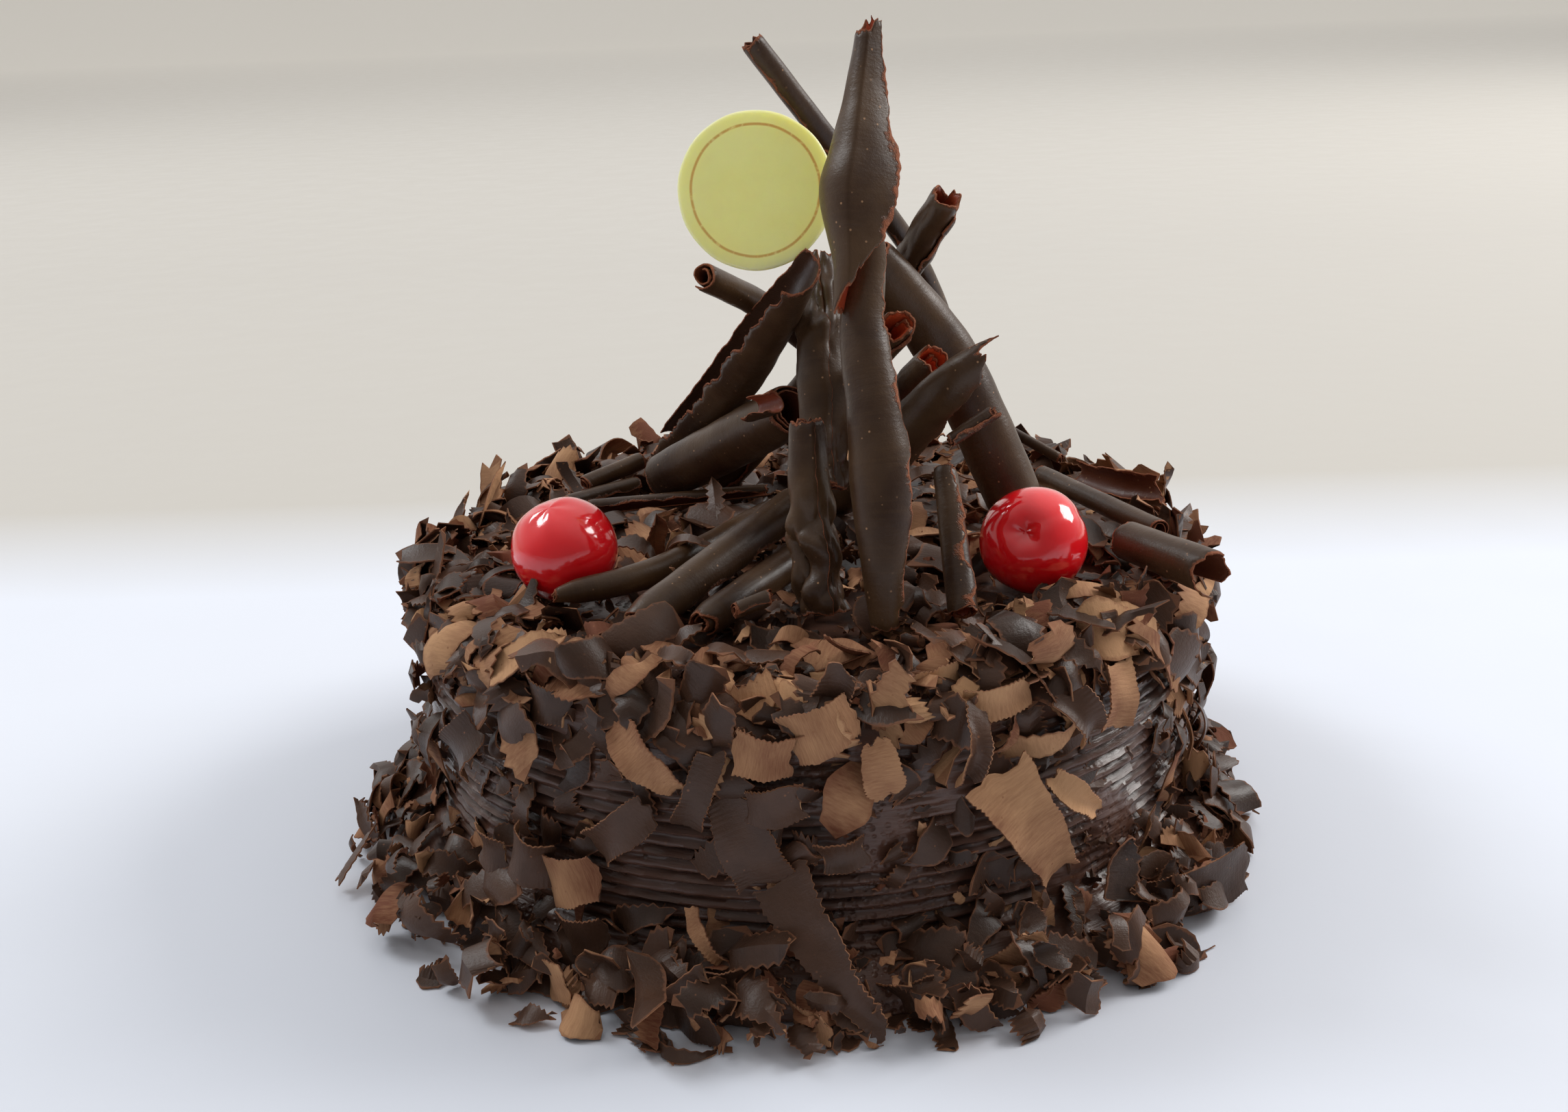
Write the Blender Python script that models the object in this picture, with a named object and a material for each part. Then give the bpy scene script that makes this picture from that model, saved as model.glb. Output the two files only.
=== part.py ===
"""A round chocolate cake heaped with shavings and crowned with leaning chocolate rolls.

The cake is one solid: a low drum with combed sides, a rounded shoulder, a slightly spread
foot and curved flakes fused all over it. On it stand the rolls, each a sheet of
chocolate rolled up or left half open, two glazed cherries and a white chocolate disc.
The origin is the centre of the cake's underside. Routes and sizes are in millimetres,
and every mesh is scaled to metres as it is made.
"""

import math

import bmesh
import bpy
import numpy as np
from mathutils import Vector

MM = 0.001
SEED = 41

# The drum
CAKE_RADIUS = 94.5
CAKE_TOP = 61.0
SHOULDER = 9.0
FOOT_RADIUS = 100.0
FOOT_HEIGHT = 12.0
DRUM_SIDES = 48
COMB_PITCH = 6.0
COMB_DEPTH = 1.4
COMB_FROM = 16.0
COMB_TO = 48.0
UNEVEN = 0.9

# The shavings fused to it
FLAKE_WALL = 1.3
FLAKE_SINK = 1.5
FLAKE_BENDS = 3
FLAKE_LENGTHS = (11.0, 20.0)
FLAKE_WIDTHS = (7.0, 13.0)
FLAKE_CURLS = (0.7, 2.4)
TOP_FLAKES = 37
RIM_FLAKES = 32
SIDE_FLAKES = 28
FOOT_FLAKES = 30
FLAKE_SPACING = 10.0
CLEARANCE = 0.9
FLOOR_GAP = 0.15

# The larger flakes of the front: a start and an end, each as turn in degrees, distance
# from the axis and height, then the width at both ends and how far the middle stands out.
LARGE_FLAKES = [
    ((-100, 93.0, 44), (-83, 108, 2), 15, 5, 3.0),
    ((-99, 93.5, 55), (-92, 93.5, 53), 10, 9, 2.0),
    ((-93, 93.0, 56), (-85, 91.0, 61), 11, 10, 3.0),
    ((-82, 93.5, 43), (-83, 93.5, 57), 9, 8, 2.4),
    ((-69, 93.5, 46), (-60, 95.0, 20), 15, 9, 3.0),
    ((-71, 92.0, 60), (-73, 94.0, 46), 5, 5, 5.0),
    ((-113, 92.5, 58), (-105, 94.0, 46), 11, 6, 3.5),
    ((-89, 88.0, 59), (-86, 91.5, 70), 9, 7, 0.8),
    ((-79, 84.0, 60), (-70, 84.0, 62), 9, 8, 2.2),
    ((-72, 89.0, 58), (-63, 90.0, 60), 8, 7, 2.6),
    ((-117, 84.0, 60), (-109, 85.0, 61), 8, 7, 2.2),
    ((-128, 89.0, 58), (-120, 91.0, 57), 10, 8, 3.0),
    ((-51, 93.5, 46), (-49, 91.0, 60), 10, 9, 2.0),
    ((-59, 93.0, 58), (-56, 94.0, 48), 8, 7, 4.0),
    ((-62, 94.0, 43), (-54, 94.0, 30), 7, 5, 3.0),
    ((-130, 94.0, 26), (-123, 94.0, 24), 12, 11, 4.0),
    ((-125, 94.0, 20), (-116, 95.0, 25), 13, 10, 3.0),
    ((-137, 94.0, 22), (-130, 95.0, 22), 9, 8, 2.6),
    ((-141, 94.0, 37), (-135, 94.0, 49), 11, 9, 2.6),
    ((-47, 96.0, 3), (-34, 110.0, 9), 16, 15, 1.0),
    ((-90, 94.0, 33), (-84, 94.0, 34), 7, 7, 3.0),
    ((-105, 94.0, 21), (-100, 96.0, 10), 4, 4, 4.0),
    ((-122, 96.0, 11), (-115, 96.5, 13), 9, 9, 3.0),
    ((-106, 97.0, 5), (-96, 99.0, 11), 9, 6, 3.0),
    ((-124, 97.0, 3), (-116, 108.0, 8), 11, 9, 2.0),
    ((-108, 97.0, 3), (-100, 109.0, 5), 10, 8, 2.5),
    ((-94, 97.0, 3), (-89, 109.0, 5), 8, 8, 2.0),
    ((-77, 97.0, 3), (-70, 108.0, 5), 9, 8, 2.0),
    ((-71, 96.0, 3), (-66, 102.0, 15), 9, 7, 1.5),
    ((-83, 96.0, 3), (-77, 104.0, 9), 8, 8, 2.0),
    ((-56, 96.0, 3), (-50, 104.0, 7), 8, 7, 3.0),
    ((-117, 93.5, 30), (-109, 93.5, 41), 9, 8, 2.2),
    ((-105, 93.5, 37), (-101, 93.5, 55), 7, 6, 2.2),
    ((-98, 93.5, 43), (-91, 93.5, 45), 8, 8, 2.4),
]

# The rolled chocolate
ROLL_WALL = 1.0
SEAM_GAP = 0.35
ROLL_FACETS = 9
CLOSED = 10.0 / 9.0
TIGHT = 0.92
CAMERA_SIDE = (0.0, -1.0, 0.25)

# Cherries and disc
CHERRY_RADIUS = 11.4
CHERRY_RINGS = 10
CHERRY_SIDES = 16
CHERRY_DIMPLE = 2.6
DIMPLE_WIDTH = 0.34
DISC_RADIUS = 16.2
DISC_THICK = 2.4
DISC_BEVEL = 0.5
DISC_SIDES = 32
DISC_CENTRE = (-8.0, -20.0, 146.0)
DISC_NORMAL = (-0.06, -0.97, 0.20)


def linear(red, green, blue):
    """Turn 0 to 255 display values into the linear colour that a material takes."""
    parts = [value / 255.0 for value in (red, green, blue)]
    return tuple(p / 12.92 if p <= 0.04045 else ((p + 0.055) / 1.055) ** 2.4 for p in parts) + (1.0,)


FINISHES = {
    "roll_chocolate": (linear(68, 56, 49), 0.42),
    "cake_chocolate": (linear(72, 54, 45), 0.5),
    "glazed_cherry": (linear(190, 12, 22), 0.12),
    "white_chocolate": (linear(224, 214, 150), 0.4),
}

# Each roll: its route from foot to tip, its radius at each point of the route, how many
# turns the sheet makes, the side that its seam or opening faces, and how many bands
# the solid has along its length.
ROLLS = {
    "tall_curl": dict(
        route=[(15, -65, 67.6), (15, -59, 90), (14, -50.5, 110), (11.6, -42, 125.3),
               (13.5, -35, 146), (15, -28, 163.5), (16.4, -24, 176.2)],
        radii=[5.0, 6.8, 6.4, 3.5, 6.8, 5.0, 2.4],
        turns=[CLOSED, CLOSED, CLOSED, 0.8, 0.5, 0.45, 0.45],
        facing=[(1, -0.6, 0), (1, -0.6, 0), (1, -0.7, 0), (0.6, -1, 0),
                (0.2, -1, 0), (0.2, -1, 0), (0.2, -1, 0)],
        bands=9),
    "crumpled_roll_front": dict(
        route=[(3.3, -58, 66.6), (2, -54, 81), (1.2, -50, 93), (1.3, -46, 104.3)],
        radii=[5.8, 5.4, 4.2, 3.6], crumple=0.16, bands=5),
    "crumpled_roll_back": dict(
        route=[(3.6, -33, 84.6), (3.2, -17, 115), (5.2, -4, 130)],
        radii=[3.9, 4.4, 2.6], turns=[CLOSED, CLOSED, 0.9], crumple=0.14, bands=4),
    "open_curl": dict(
        route=[(1.2, -32, 132.3), (-9.4, -8, 113.7), (-22.3, 20, 91), (-34.5, 43, 73)],
        radii=[3.6, 5.2, 5.5, 5.0], turns=[0.62] * 4, facing=[(-0.5, -1, 0.2)] * 4, bands=5),
    "thick_roll_left": dict(
        route=[(-35, 21.6, 72.5), (-18.3, 6, 84.6), (-2.1, -14, 98.1)],
        radii=[6.2, 6.5, 6.2], facing=[(0, 0.3, -1)] * 3, bands=3),
    "small_curl_left": dict(
        route=[(-12.4, -18, 99.0), (-5.6, -25, 102.6)], radii=[3.0, 2.8], bands=1, wall=0.8),
    "slim_roll_left": dict(
        route=[(-20.3, -15.5, 128.4), (-8.5, 4, 117.9), (30, 56, 69)],
        radii=[3.4, 3.6, 3.8], facing=[(0, 0.4, -1)] * 3, bands=4),
    "long_thin_roll": dict(
        route=[(-7.4, -10, 173.3), (8.6, 0, 151.9), (26.3, 17, 127), (46, 50, 69)],
        radii=[2.9, 3.0, 3.0, 3.5], facing=[(0.3, -0.4, -1)] * 4, bands=5, wall=0.8),
    "folded_roll_right": dict(
        route=[(33.9, -4, 142.3), (25.4, 5, 126.8), (-21, 24, 69.5)],
        radii=[3.9, 3.8, 4.0], turns=[0.75, 0.9, CLOSED],
        facing=[(0.5, -1, 0.2)] * 3, bands=4),
    "thick_roll_right": dict(
        route=[(22.7, -9, 129.1), (35.5, -4, 101.5), (46.1, -8.9, 73)],
        radii=[6.2, 6.8, 7.0], facing=[(-1, 0.2, -0.3)] * 3, bands=4),
    "scroll_upper": dict(
        route=[(19.8, -39, 120.8), (15.9, -30, 114.2), (11.5, -22, 106.6)],
        radii=[3.8, 3.4, 3.2], facing=[(0, -0.5, 1)] * 3, bands=2),
    "scroll_lower": dict(
        route=[(26.2, -24, 109.4), (20.6, -15, 101.0), (16.2, -5, 93.4)],
        radii=[4.0, 3.8, 3.4], facing=[(0.4, -0.4, -1)] * 3, bands=2),
    "half_roll": dict(
        route=[(36.7, -36, 114.3), (27.7, -29, 100.1), (12.3, -10, 78.3), (4, 6, 70)],
        radii=[4.2, 5.6, 5.6, 5.0], turns=[0.42, 0.5, 0.55, 0.6],
        facing=[(0.3, 1, -0.5)] * 4, bands=5),
    "thin_stick": dict(
        route=[(39.6, -36, 101.7), (30.2, -40.4, 97.1)], radii=[1.7, 1.7],
        turns=[TIGHT] * 2, facing=[(0, 0.3, -1)] * 2, bands=1, wall=0.9),
    "leaning_roll": dict(
        route=[(30.8, -63.2, 67.6), (29.1, -42, 91.7)], radii=[3.7, 3.0],
        facing=[(1, -0.7, 0)] * 2, bands=2, wall=0.8),
    "thin_stick_back": dict(
        route=[(53.0, 38, 77.0), (66.0, 33, 70.0)], radii=[1.6, 1.6],
        turns=[TIGHT] * 2, facing=[(0, 0.3, -1)] * 2, bands=1, wall=0.9),
    "curled_sheet": dict(
        route=[(66.5, 22, 67.5), (84.0, 2, 67.0)], radii=[3.8, 3.6],
        turns=[0.66, 0.6], facing=[(-0.2, -0.4, 1)] * 2, bands=2),
    "long_roll_right": dict(
        route=[(59.3, 19, 70.3), (76.2, -25, 70.5)], radii=[2.4, 2.5],
        turns=[TIGHT] * 2, facing=[(0, 0.3, -1)] * 2, bands=2),
    "wide_roll_right": dict(
        route=[(69.2, -33, 71.5), (81.2, -53, 70.6)], radii=[4.2, 4.9],
        turns=[0.9, 0.72], facing=[(0.6, -0.9, -0.8)] * 2, bands=2),
    "slim_roll_front": dict(
        route=[(-52.6, -50, 69.4), (-40.0, -44, 69.6), (-6.8, 4.3, 69)],
        radii=[2.6, 3.1, 3.1], facing=[(0.3, -0.5, -1)] * 3, bands=4, wall=0.8),
    "thick_roll_front": dict(
        route=[(-32.1, -59.8, 70), (-1.4, -20, 78.2)], radii=[4.9, 4.7],
        facing=[(0.5, -1, -0.6)] * 2, bands=2),
    "short_roll_front": dict(
        route=[(-19.8, -60, 68.9), (-1.8, -32, 69.9)], radii=[4.3, 4.1],
        facing=[(0.5, -0.4, -1)] * 2, bands=2),
    "tiny_roll_front": dict(
        route=[(-14.9, -65, 70.4), (-6.4, -62, 72.4)], radii=[2.0, 2.0],
        turns=[TIGHT] * 2, facing=[(0, 0.3, -1)] * 2, bands=1, wall=0.9),
    "thin_curl_left": dict(
        route=[(-52.6, 9.2, 69), (-8.4, 9.4, 72)], radii=[2.0, 1.6],
        turns=[0.8, 0.9], facing=[(0, -1, -0.4)] * 2, bands=2, wall=0.9),
    "rim_roll_lower": dict(
        route=[(-58.5, 13.4, 68.6), (-42.0, 27.0, 68.6)], radii=[2.6, 2.8], bands=1, wall=0.8),
    "rim_roll_upper": dict(
        route=[(-55.0, 21.5, 71.3), (-40.8, 33.8, 73.6)], radii=[2.4, 2.6],
        turns=[TIGHT] * 2, facing=[(0, 0.3, -1)] * 2, bands=1),
}

CHERRIES = {
    "cherry_left": dict(centre=(-51.7, -34.0, 73.9), stem=(0.2, 0.3, -1.0)),
    "cherry_right": dict(centre=(48.0, -38.0, 73.7), stem=(-0.32, -0.80, 0.52)),
}


def clear_scene():
    """Remove every object that the file already holds."""
    for item in list(bpy.data.objects):
        bpy.data.objects.remove(item, do_unlink=True)


def finish_material(kind, owner):
    """Make one object's own material from a named colour and roughness."""
    colour, roughness = FINISHES[kind]
    material = bpy.data.materials.new(f"{kind}_{owner}")
    material.use_nodes = True
    shader = material.node_tree.nodes["Principled BSDF"]
    shader.inputs["Base Color"].default_value = colour
    shader.inputs["Roughness"].default_value = roughness
    shader.inputs["Metallic"].default_value = 0.0
    return material


def place(name, points, faces, kind, smooth_angle=40.0):
    """Put millimetre points and faces into a new object, with its finish."""
    mesh = bpy.data.meshes.new(name)
    scaled = np.asarray(points, dtype=float) * MM
    mesh.from_pydata(scaled.tolist(), [], [tuple(int(i) for i in face) for face in faces])
    shape = bmesh.new()
    shape.from_mesh(mesh)
    bmesh.ops.recalc_face_normals(shape, faces=shape.faces)
    shape.to_mesh(mesh)
    shape.free()
    mesh.materials.append(finish_material(kind, name))
    mesh.shade_smooth()
    mesh.set_sharp_from_angle(angle=math.radians(smooth_angle))
    item = bpy.data.objects.new(name, mesh)
    bpy.context.scene.collection.objects.link(item)
    return item


def unit(vector):
    """Scale vectors to length one, along the last axis."""
    return vector / np.linalg.norm(vector, axis=-1, keepdims=True)


def curve_through(values, shares, wanted):
    """Read a smooth curve that passes through the values, at the wanted shares of its length.

    Each span is a cubic whose end slopes are those of the chord over the two neighbours.
    """
    values = np.asarray(values, dtype=float)
    slopes = np.gradient(values, shares, axis=0)
    span = np.clip(np.searchsorted(shares, wanted, side="right") - 1, 0, len(shares) - 2)
    width = shares[span + 1] - shares[span]
    t = (wanted - shares[span]) / width
    shape = (-1,) + (1,) * (values.ndim - 1)
    t, width = t.reshape(shape), width.reshape(shape)
    return ((2 * t**3 - 3 * t**2 + 1) * values[span] + (t**3 - 2 * t**2 + t) * width * slopes[span]
            + (3 * t**2 - 2 * t**3) * values[span + 1] + (t**3 - t**2) * width * slopes[span + 1])


def stations(roll, count):
    """Return a roll's centres, radii, turns and facing vectors at `count` even stations."""
    route = np.array(roll["route"], dtype=float)
    lengths = np.linalg.norm(np.diff(route, axis=0), axis=1)
    shares = np.concatenate([[0.0], np.cumsum(lengths)]) / lengths.sum()
    wanted = np.linspace(0.0, 1.0, count)
    centres = curve_through(route, shares, wanted)
    radii = np.interp(wanted, shares, roll["radii"])
    turns = np.interp(wanted, shares, roll.get("turns", [CLOSED] * len(route)))
    facing = np.array(roll.get("facing", [CAMERA_SIDE] * len(route)), dtype=float)
    facing = np.stack([np.interp(wanted, shares, facing[:, axis]) for axis in range(3)], axis=1)
    return centres, radii, turns, facing


def rolled_sheet(name, roll):
    """Build one roll: a spiral strip of even wall, carried along the roll's route.

    The strip runs round the centre line by `turns`, its middle opposite the facing side.
    Where it passes a whole turn its start lies inside its end, SEAM_GAP clear of it.
    """
    bands = roll["bands"]
    wall = roll.get("wall", ROLL_WALL)
    centres, radii, turns, facing = stations(roll, bands + 1)
    tangent = unit(np.gradient(centres, axis=0))
    across = unit(facing - (facing * tangent).sum(1, keepdims=True) * tangent)
    side = np.cross(tangent, across)

    steps = max(4, round(turns.max() * ROLL_FACETS))
    share = np.linspace(0.0, 1.0, steps + 1)
    angle = math.pi + (share[None, :] - 0.5) * 2 * math.pi * turns[:, None]
    lap = (wall + SEAM_GAP) * turns * np.clip((turns - 0.9) / 0.1, 0.0, 1.0)
    outer = radii[:, None] - lap[:, None] * (1.0 - share[None, :])
    ripple = roll.get("crumple", 0.0)
    along = np.arange(bands + 1)[:, None]
    outer = outer * (1.0 + ripple * np.sin(3 * angle + 1.9 * along) * np.cos(1.3 * along + 0.4))
    inner = outer - wall
    ring = across[:, None, :] * np.cos(angle)[..., None] + side[:, None, :] * np.sin(angle)[..., None]
    outside = centres[:, None, :] + ring * outer[..., None]
    inside = centres[:, None, :] + ring * inner[..., None]
    loop = np.concatenate([outside, inside[:, ::-1]], axis=1)
    size = loop.shape[1]

    faces = []
    for band in range(bands):
        low, high = band * size, (band + 1) * size
        for k in range(size):
            nxt = (k + 1) % size
            faces.append((low + k, low + nxt, high + nxt, high + k))
    for row in (0, bands * size):
        for k in range(steps):
            faces.append((row + k, row + k + 1, row + size - 2 - k, row + size - 1 - k))
    return place(name, loop.reshape(-1, 3), faces, "roll_chocolate")


def cherry(name, centre, stem):
    """Build a cherry: a ball, a little flat along its stem, with the stem's dimple."""
    axis = Vector(stem).normalized()
    turn = axis.to_track_quat("Z", "Y").to_matrix()
    polar = np.linspace(0.0, math.pi, CHERRY_RINGS + 1)[1:-1]
    round_angle = np.linspace(0.0, 2 * math.pi, CHERRY_SIDES, endpoint=False)

    def reach(angle):
        return CHERRY_RADIUS - CHERRY_DIMPLE * np.exp(-((angle / DIMPLE_WIDTH) ** 2))

    radius = reach(polar)[:, None]
    x = radius * np.sin(polar)[:, None] * np.cos(round_angle)[None]
    y = radius * np.sin(polar)[:, None] * np.sin(round_angle)[None]
    z = 0.96 * radius * np.cos(polar)[:, None] * np.ones_like(x)
    points = np.stack([x, y, z], axis=-1).reshape(-1, 3)
    poles = np.array([[0, 0, 0.96 * reach(0.0)], [0, 0, -0.96 * reach(math.pi)]])
    points = np.concatenate([points, poles]) @ np.array(turn).T + np.array(centre)

    rings, sides = len(polar), CHERRY_SIDES
    faces = []
    for k in range(sides):
        nxt = (k + 1) % sides
        faces.append((rings * sides, k, nxt))
        faces.append((rings * sides + 1, (rings - 1) * sides + nxt, (rings - 1) * sides + k))
        for ring in range(rings - 1):
            low, high = ring * sides, (ring + 1) * sides
            faces.append((low + k, high + k, high + nxt, low + nxt))
    return place(name, points, faces, "glazed_cherry", smooth_angle=80.0)


def plaque():
    """Build the white chocolate disc: a turned coin with eased edges, stood on its rim."""
    half = DISC_THICK / 2
    profile = [(DISC_RADIUS - DISC_BEVEL, -half), (DISC_RADIUS, -half + DISC_BEVEL),
               (DISC_RADIUS, half - DISC_BEVEL), (DISC_RADIUS - DISC_BEVEL, half)]
    turn = Vector(DISC_NORMAL).normalized().to_track_quat("Z", "Y").to_matrix()
    angle = np.linspace(0.0, 2 * math.pi, DISC_SIDES, endpoint=False)
    points = [np.stack([reach * np.cos(angle), reach * np.sin(angle), np.full(DISC_SIDES, height)], axis=1)
              for reach, height in profile]
    points = np.concatenate(points) @ np.array(turn).T + np.array(DISC_CENTRE)
    faces = [tuple(range(DISC_SIDES)), tuple(range(3 * DISC_SIDES, 4 * DISC_SIDES))]
    for row in range(len(profile) - 1):
        for k in range(DISC_SIDES):
            nxt = (k + 1) % DISC_SIDES
            low, high = row * DISC_SIDES, (row + 1) * DISC_SIDES
            faces.append((low + k, low + nxt, high + nxt, high + k))
    return place("plaque", points, faces, "white_chocolate")


def drum_profile():
    """List the drum's outline from the rim of its underside up to its top centre."""
    outline = [(FOOT_RADIUS, 0.0), (FOOT_RADIUS - 0.5, 4.0), (CAKE_RADIUS + 0.5, FOOT_HEIGHT)]
    combs = round((COMB_TO - COMB_FROM) / COMB_PITCH)
    for comb in range(combs):
        height = COMB_FROM + comb * COMB_PITCH
        outline.append((CAKE_RADIUS - COMB_DEPTH, height))
        outline.append((CAKE_RADIUS, height + COMB_PITCH * 0.5))
    for step in range(4):
        turn = math.radians(12.0 + 26.0 * step)
        reach = CAKE_RADIUS - SHOULDER + SHOULDER * math.cos(turn)
        outline.append((reach, CAKE_TOP - SHOULDER + SHOULDER * math.sin(turn)))
    outline += [(70.0, CAKE_TOP + 0.2), (38.0, CAKE_TOP), (0.0, CAKE_TOP)]
    return outline


def drum():
    """Turn the drum's outline into the bare cake, a little uneven round its side."""
    outline = drum_profile()
    angle = np.linspace(0.0, 2 * math.pi, DRUM_SIDES, endpoint=False)
    rows = []
    for row, (reach, height) in enumerate(outline[:-1]):
        wave = np.sin(3 * angle + 0.7) + 0.6 * np.sin(7 * angle + 0.21 * row)
        wobble = UNEVEN * 0.5 * (wave + 0.4 * np.cos(12 * angle - 0.5 * row))
        rows.append(np.stack([(reach + wobble) * np.cos(angle), (reach + wobble) * np.sin(angle),
                              np.full(DRUM_SIDES, height)], axis=1))
    points = np.concatenate(rows + [np.array([[0.0, 0.0, CAKE_TOP]])])
    last = len(points) - 1
    faces = [tuple(range(DRUM_SIDES))]
    for row in range(len(rows) - 1):
        for k in range(DRUM_SIDES):
            nxt = (k + 1) % DRUM_SIDES
            low, high = row * DRUM_SIDES, (row + 1) * DRUM_SIDES
            faces.append((low + k, low + nxt, high + nxt, high + k))
    start = (len(rows) - 1) * DRUM_SIDES
    faces += [(start + k, start + (k + 1) % DRUM_SIDES, last) for k in range(DRUM_SIDES)]
    return place("cake", points, faces, "cake_chocolate", smooth_angle=50.0)


def flake_points(rng, length, width, curl):
    """Return one flake in its own frame: a strip bent round an arc, wider at one end.

    The arc lies over the X axis with its bend along Z, and one end dips below z = 0.
    """
    bend = np.linspace(-0.5, 0.5, FLAKE_BENDS + 1) * curl
    radius = length / curl
    taper = np.linspace(1.0, rng.uniform(0.45, 1.0), FLAKE_BENDS + 1)
    skew = np.linspace(0.0, rng.uniform(-0.35, 0.35) * width, FLAKE_BENDS + 1)
    rows = []
    for reach in (radius, radius - FLAKE_WALL):
        arc = np.stack([reach * np.sin(bend), reach * np.cos(bend) - radius], axis=1)
        for hand in (-0.5, 0.5):
            across = hand * width * taper + skew
            rows.append(np.stack([arc[:, 0], across, arc[:, 1]], axis=1))
    return np.concatenate(rows)


def flake_faces():
    """List a flake's faces: two skins, two long edges and two ends."""
    n = FLAKE_BENDS + 1
    top_left, top_right, low_left, low_right = 0, n, 2 * n, 3 * n
    faces = []
    for k in range(FLAKE_BENDS):
        faces.append((top_left + k, top_left + k + 1, top_right + k + 1, top_right + k))
        faces.append((low_left + k, low_right + k, low_right + k + 1, low_left + k + 1))
        faces.append((top_left + k, low_left + k, low_left + k + 1, top_left + k + 1))
        faces.append((top_right + k, top_right + k + 1, low_right + k + 1, low_right + k))
    for k in (0, FLAKE_BENDS):
        faces.append((top_left + k, top_right + k, low_right + k, low_left + k))
    return faces


def polar_point(turn, reach, height):
    """Turn degrees about the axis, distance from it and height into a point."""
    angle = np.radians(turn)
    return np.stack([reach * np.cos(angle), reach * np.sin(angle), height], axis=-1)


def large_flake_points(start, end, width_start, width_end, bulge):
    """Return a large flake's points, placed: a strip wrapped round the drum between two places.

    Turn, distance and height run evenly from start to end, and the middle stands out.
    """
    share = np.linspace(0.0, 1.0, FLAKE_BENDS + 1)
    place_at = np.array(start)[None] * (1 - share[:, None]) + np.array(end)[None] * share[:, None]
    place_at[:, 1] += bulge * np.sin(math.pi * share)
    middle = polar_point(*place_at.T)
    outward = unit(middle * (1.0, 1.0, 0.0))
    across = unit(np.cross(np.gradient(middle, axis=0), outward))
    skin = unit(np.cross(across, np.gradient(middle, axis=0)))
    skin *= np.sign((skin * outward).sum(1, keepdims=True))
    half = 0.5 * (width_start * (1 - share) + width_end * share)[:, None]
    outer, inner = middle + skin * FLAKE_WALL / 2, middle - skin * FLAKE_WALL / 2
    return np.concatenate([outer - half * across, outer + half * across,
                           inner - half * across, inner + half * across])


def lift_off_floor(points):
    """Push up the points that would reach below the surface that the cake stands on."""
    points[:, 2] = np.maximum(points[:, 2], FLOOR_GAP + 0.02 * (points[:, 2] - points[:, 2].min()))
    return points


def seats(rng):
    """Yield where flakes sit on the drum: a point, the outward normal and a size factor.

    Each zone is filled along a golden-angle spiral, which spreads its flakes evenly.
    """
    golden = math.pi * (3.0 - math.sqrt(5.0))
    for k in range(TOP_FLAKES):
        reach = 82.0 * math.sqrt((k + 0.5) / TOP_FLAKES)
        turn = golden * k + rng.uniform(-0.1, 0.1)
        yield (reach * math.cos(turn), reach * math.sin(turn), CAKE_TOP), (0.0, 0.0, 1.0), 0.9
    for k in range(RIM_FLAKES):
        turn = 2 * math.pi * (k + rng.uniform(-0.3, 0.3)) / RIM_FLAKES
        lean = math.radians(rng.uniform(18.0, 72.0))
        reach = CAKE_RADIUS - SHOULDER + SHOULDER * math.cos(lean)
        height = CAKE_TOP - SHOULDER + SHOULDER * math.sin(lean)
        normal = (math.cos(lean) * math.cos(turn), math.cos(lean) * math.sin(turn), math.sin(lean))
        yield (reach * math.cos(turn), reach * math.sin(turn), height), normal, 1.0
    for k in range(SIDE_FLAKES):
        turn = golden * k
        height = COMB_FROM + (COMB_TO - COMB_FROM) * (k + 0.5) / SIDE_FLAKES
        normal = (math.cos(turn), math.sin(turn), 0.15)
        yield (CAKE_RADIUS * math.cos(turn), CAKE_RADIUS * math.sin(turn), height), normal, 0.85
    for k in range(FOOT_FLAKES):
        turn = 2 * math.pi * (k + rng.uniform(-0.3, 0.3)) / FOOT_FLAKES
        height = rng.uniform(3.0, 12.0)
        reach = FOOT_RADIUS - 0.4 * height
        normal = (0.8 * math.cos(turn), 0.8 * math.sin(turn), 0.6)
        yield (reach * math.cos(turn), reach * math.sin(turn), height), normal, 1.0


def topping_spheres():
    """Gather balls along every roll, cherry and the disc, which flakes have to stay clear of."""
    centres, reach = [], []
    for roll in ROLLS.values():
        points, radii, _turns, _facing = stations(roll, 24)
        centres.append(points)
        reach.append(radii)
    for item in CHERRIES.values():
        centres.append(np.array([item["centre"]]))
        reach.append(np.array([CHERRY_RADIUS]))
    return np.concatenate(centres), np.concatenate(reach)


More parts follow.
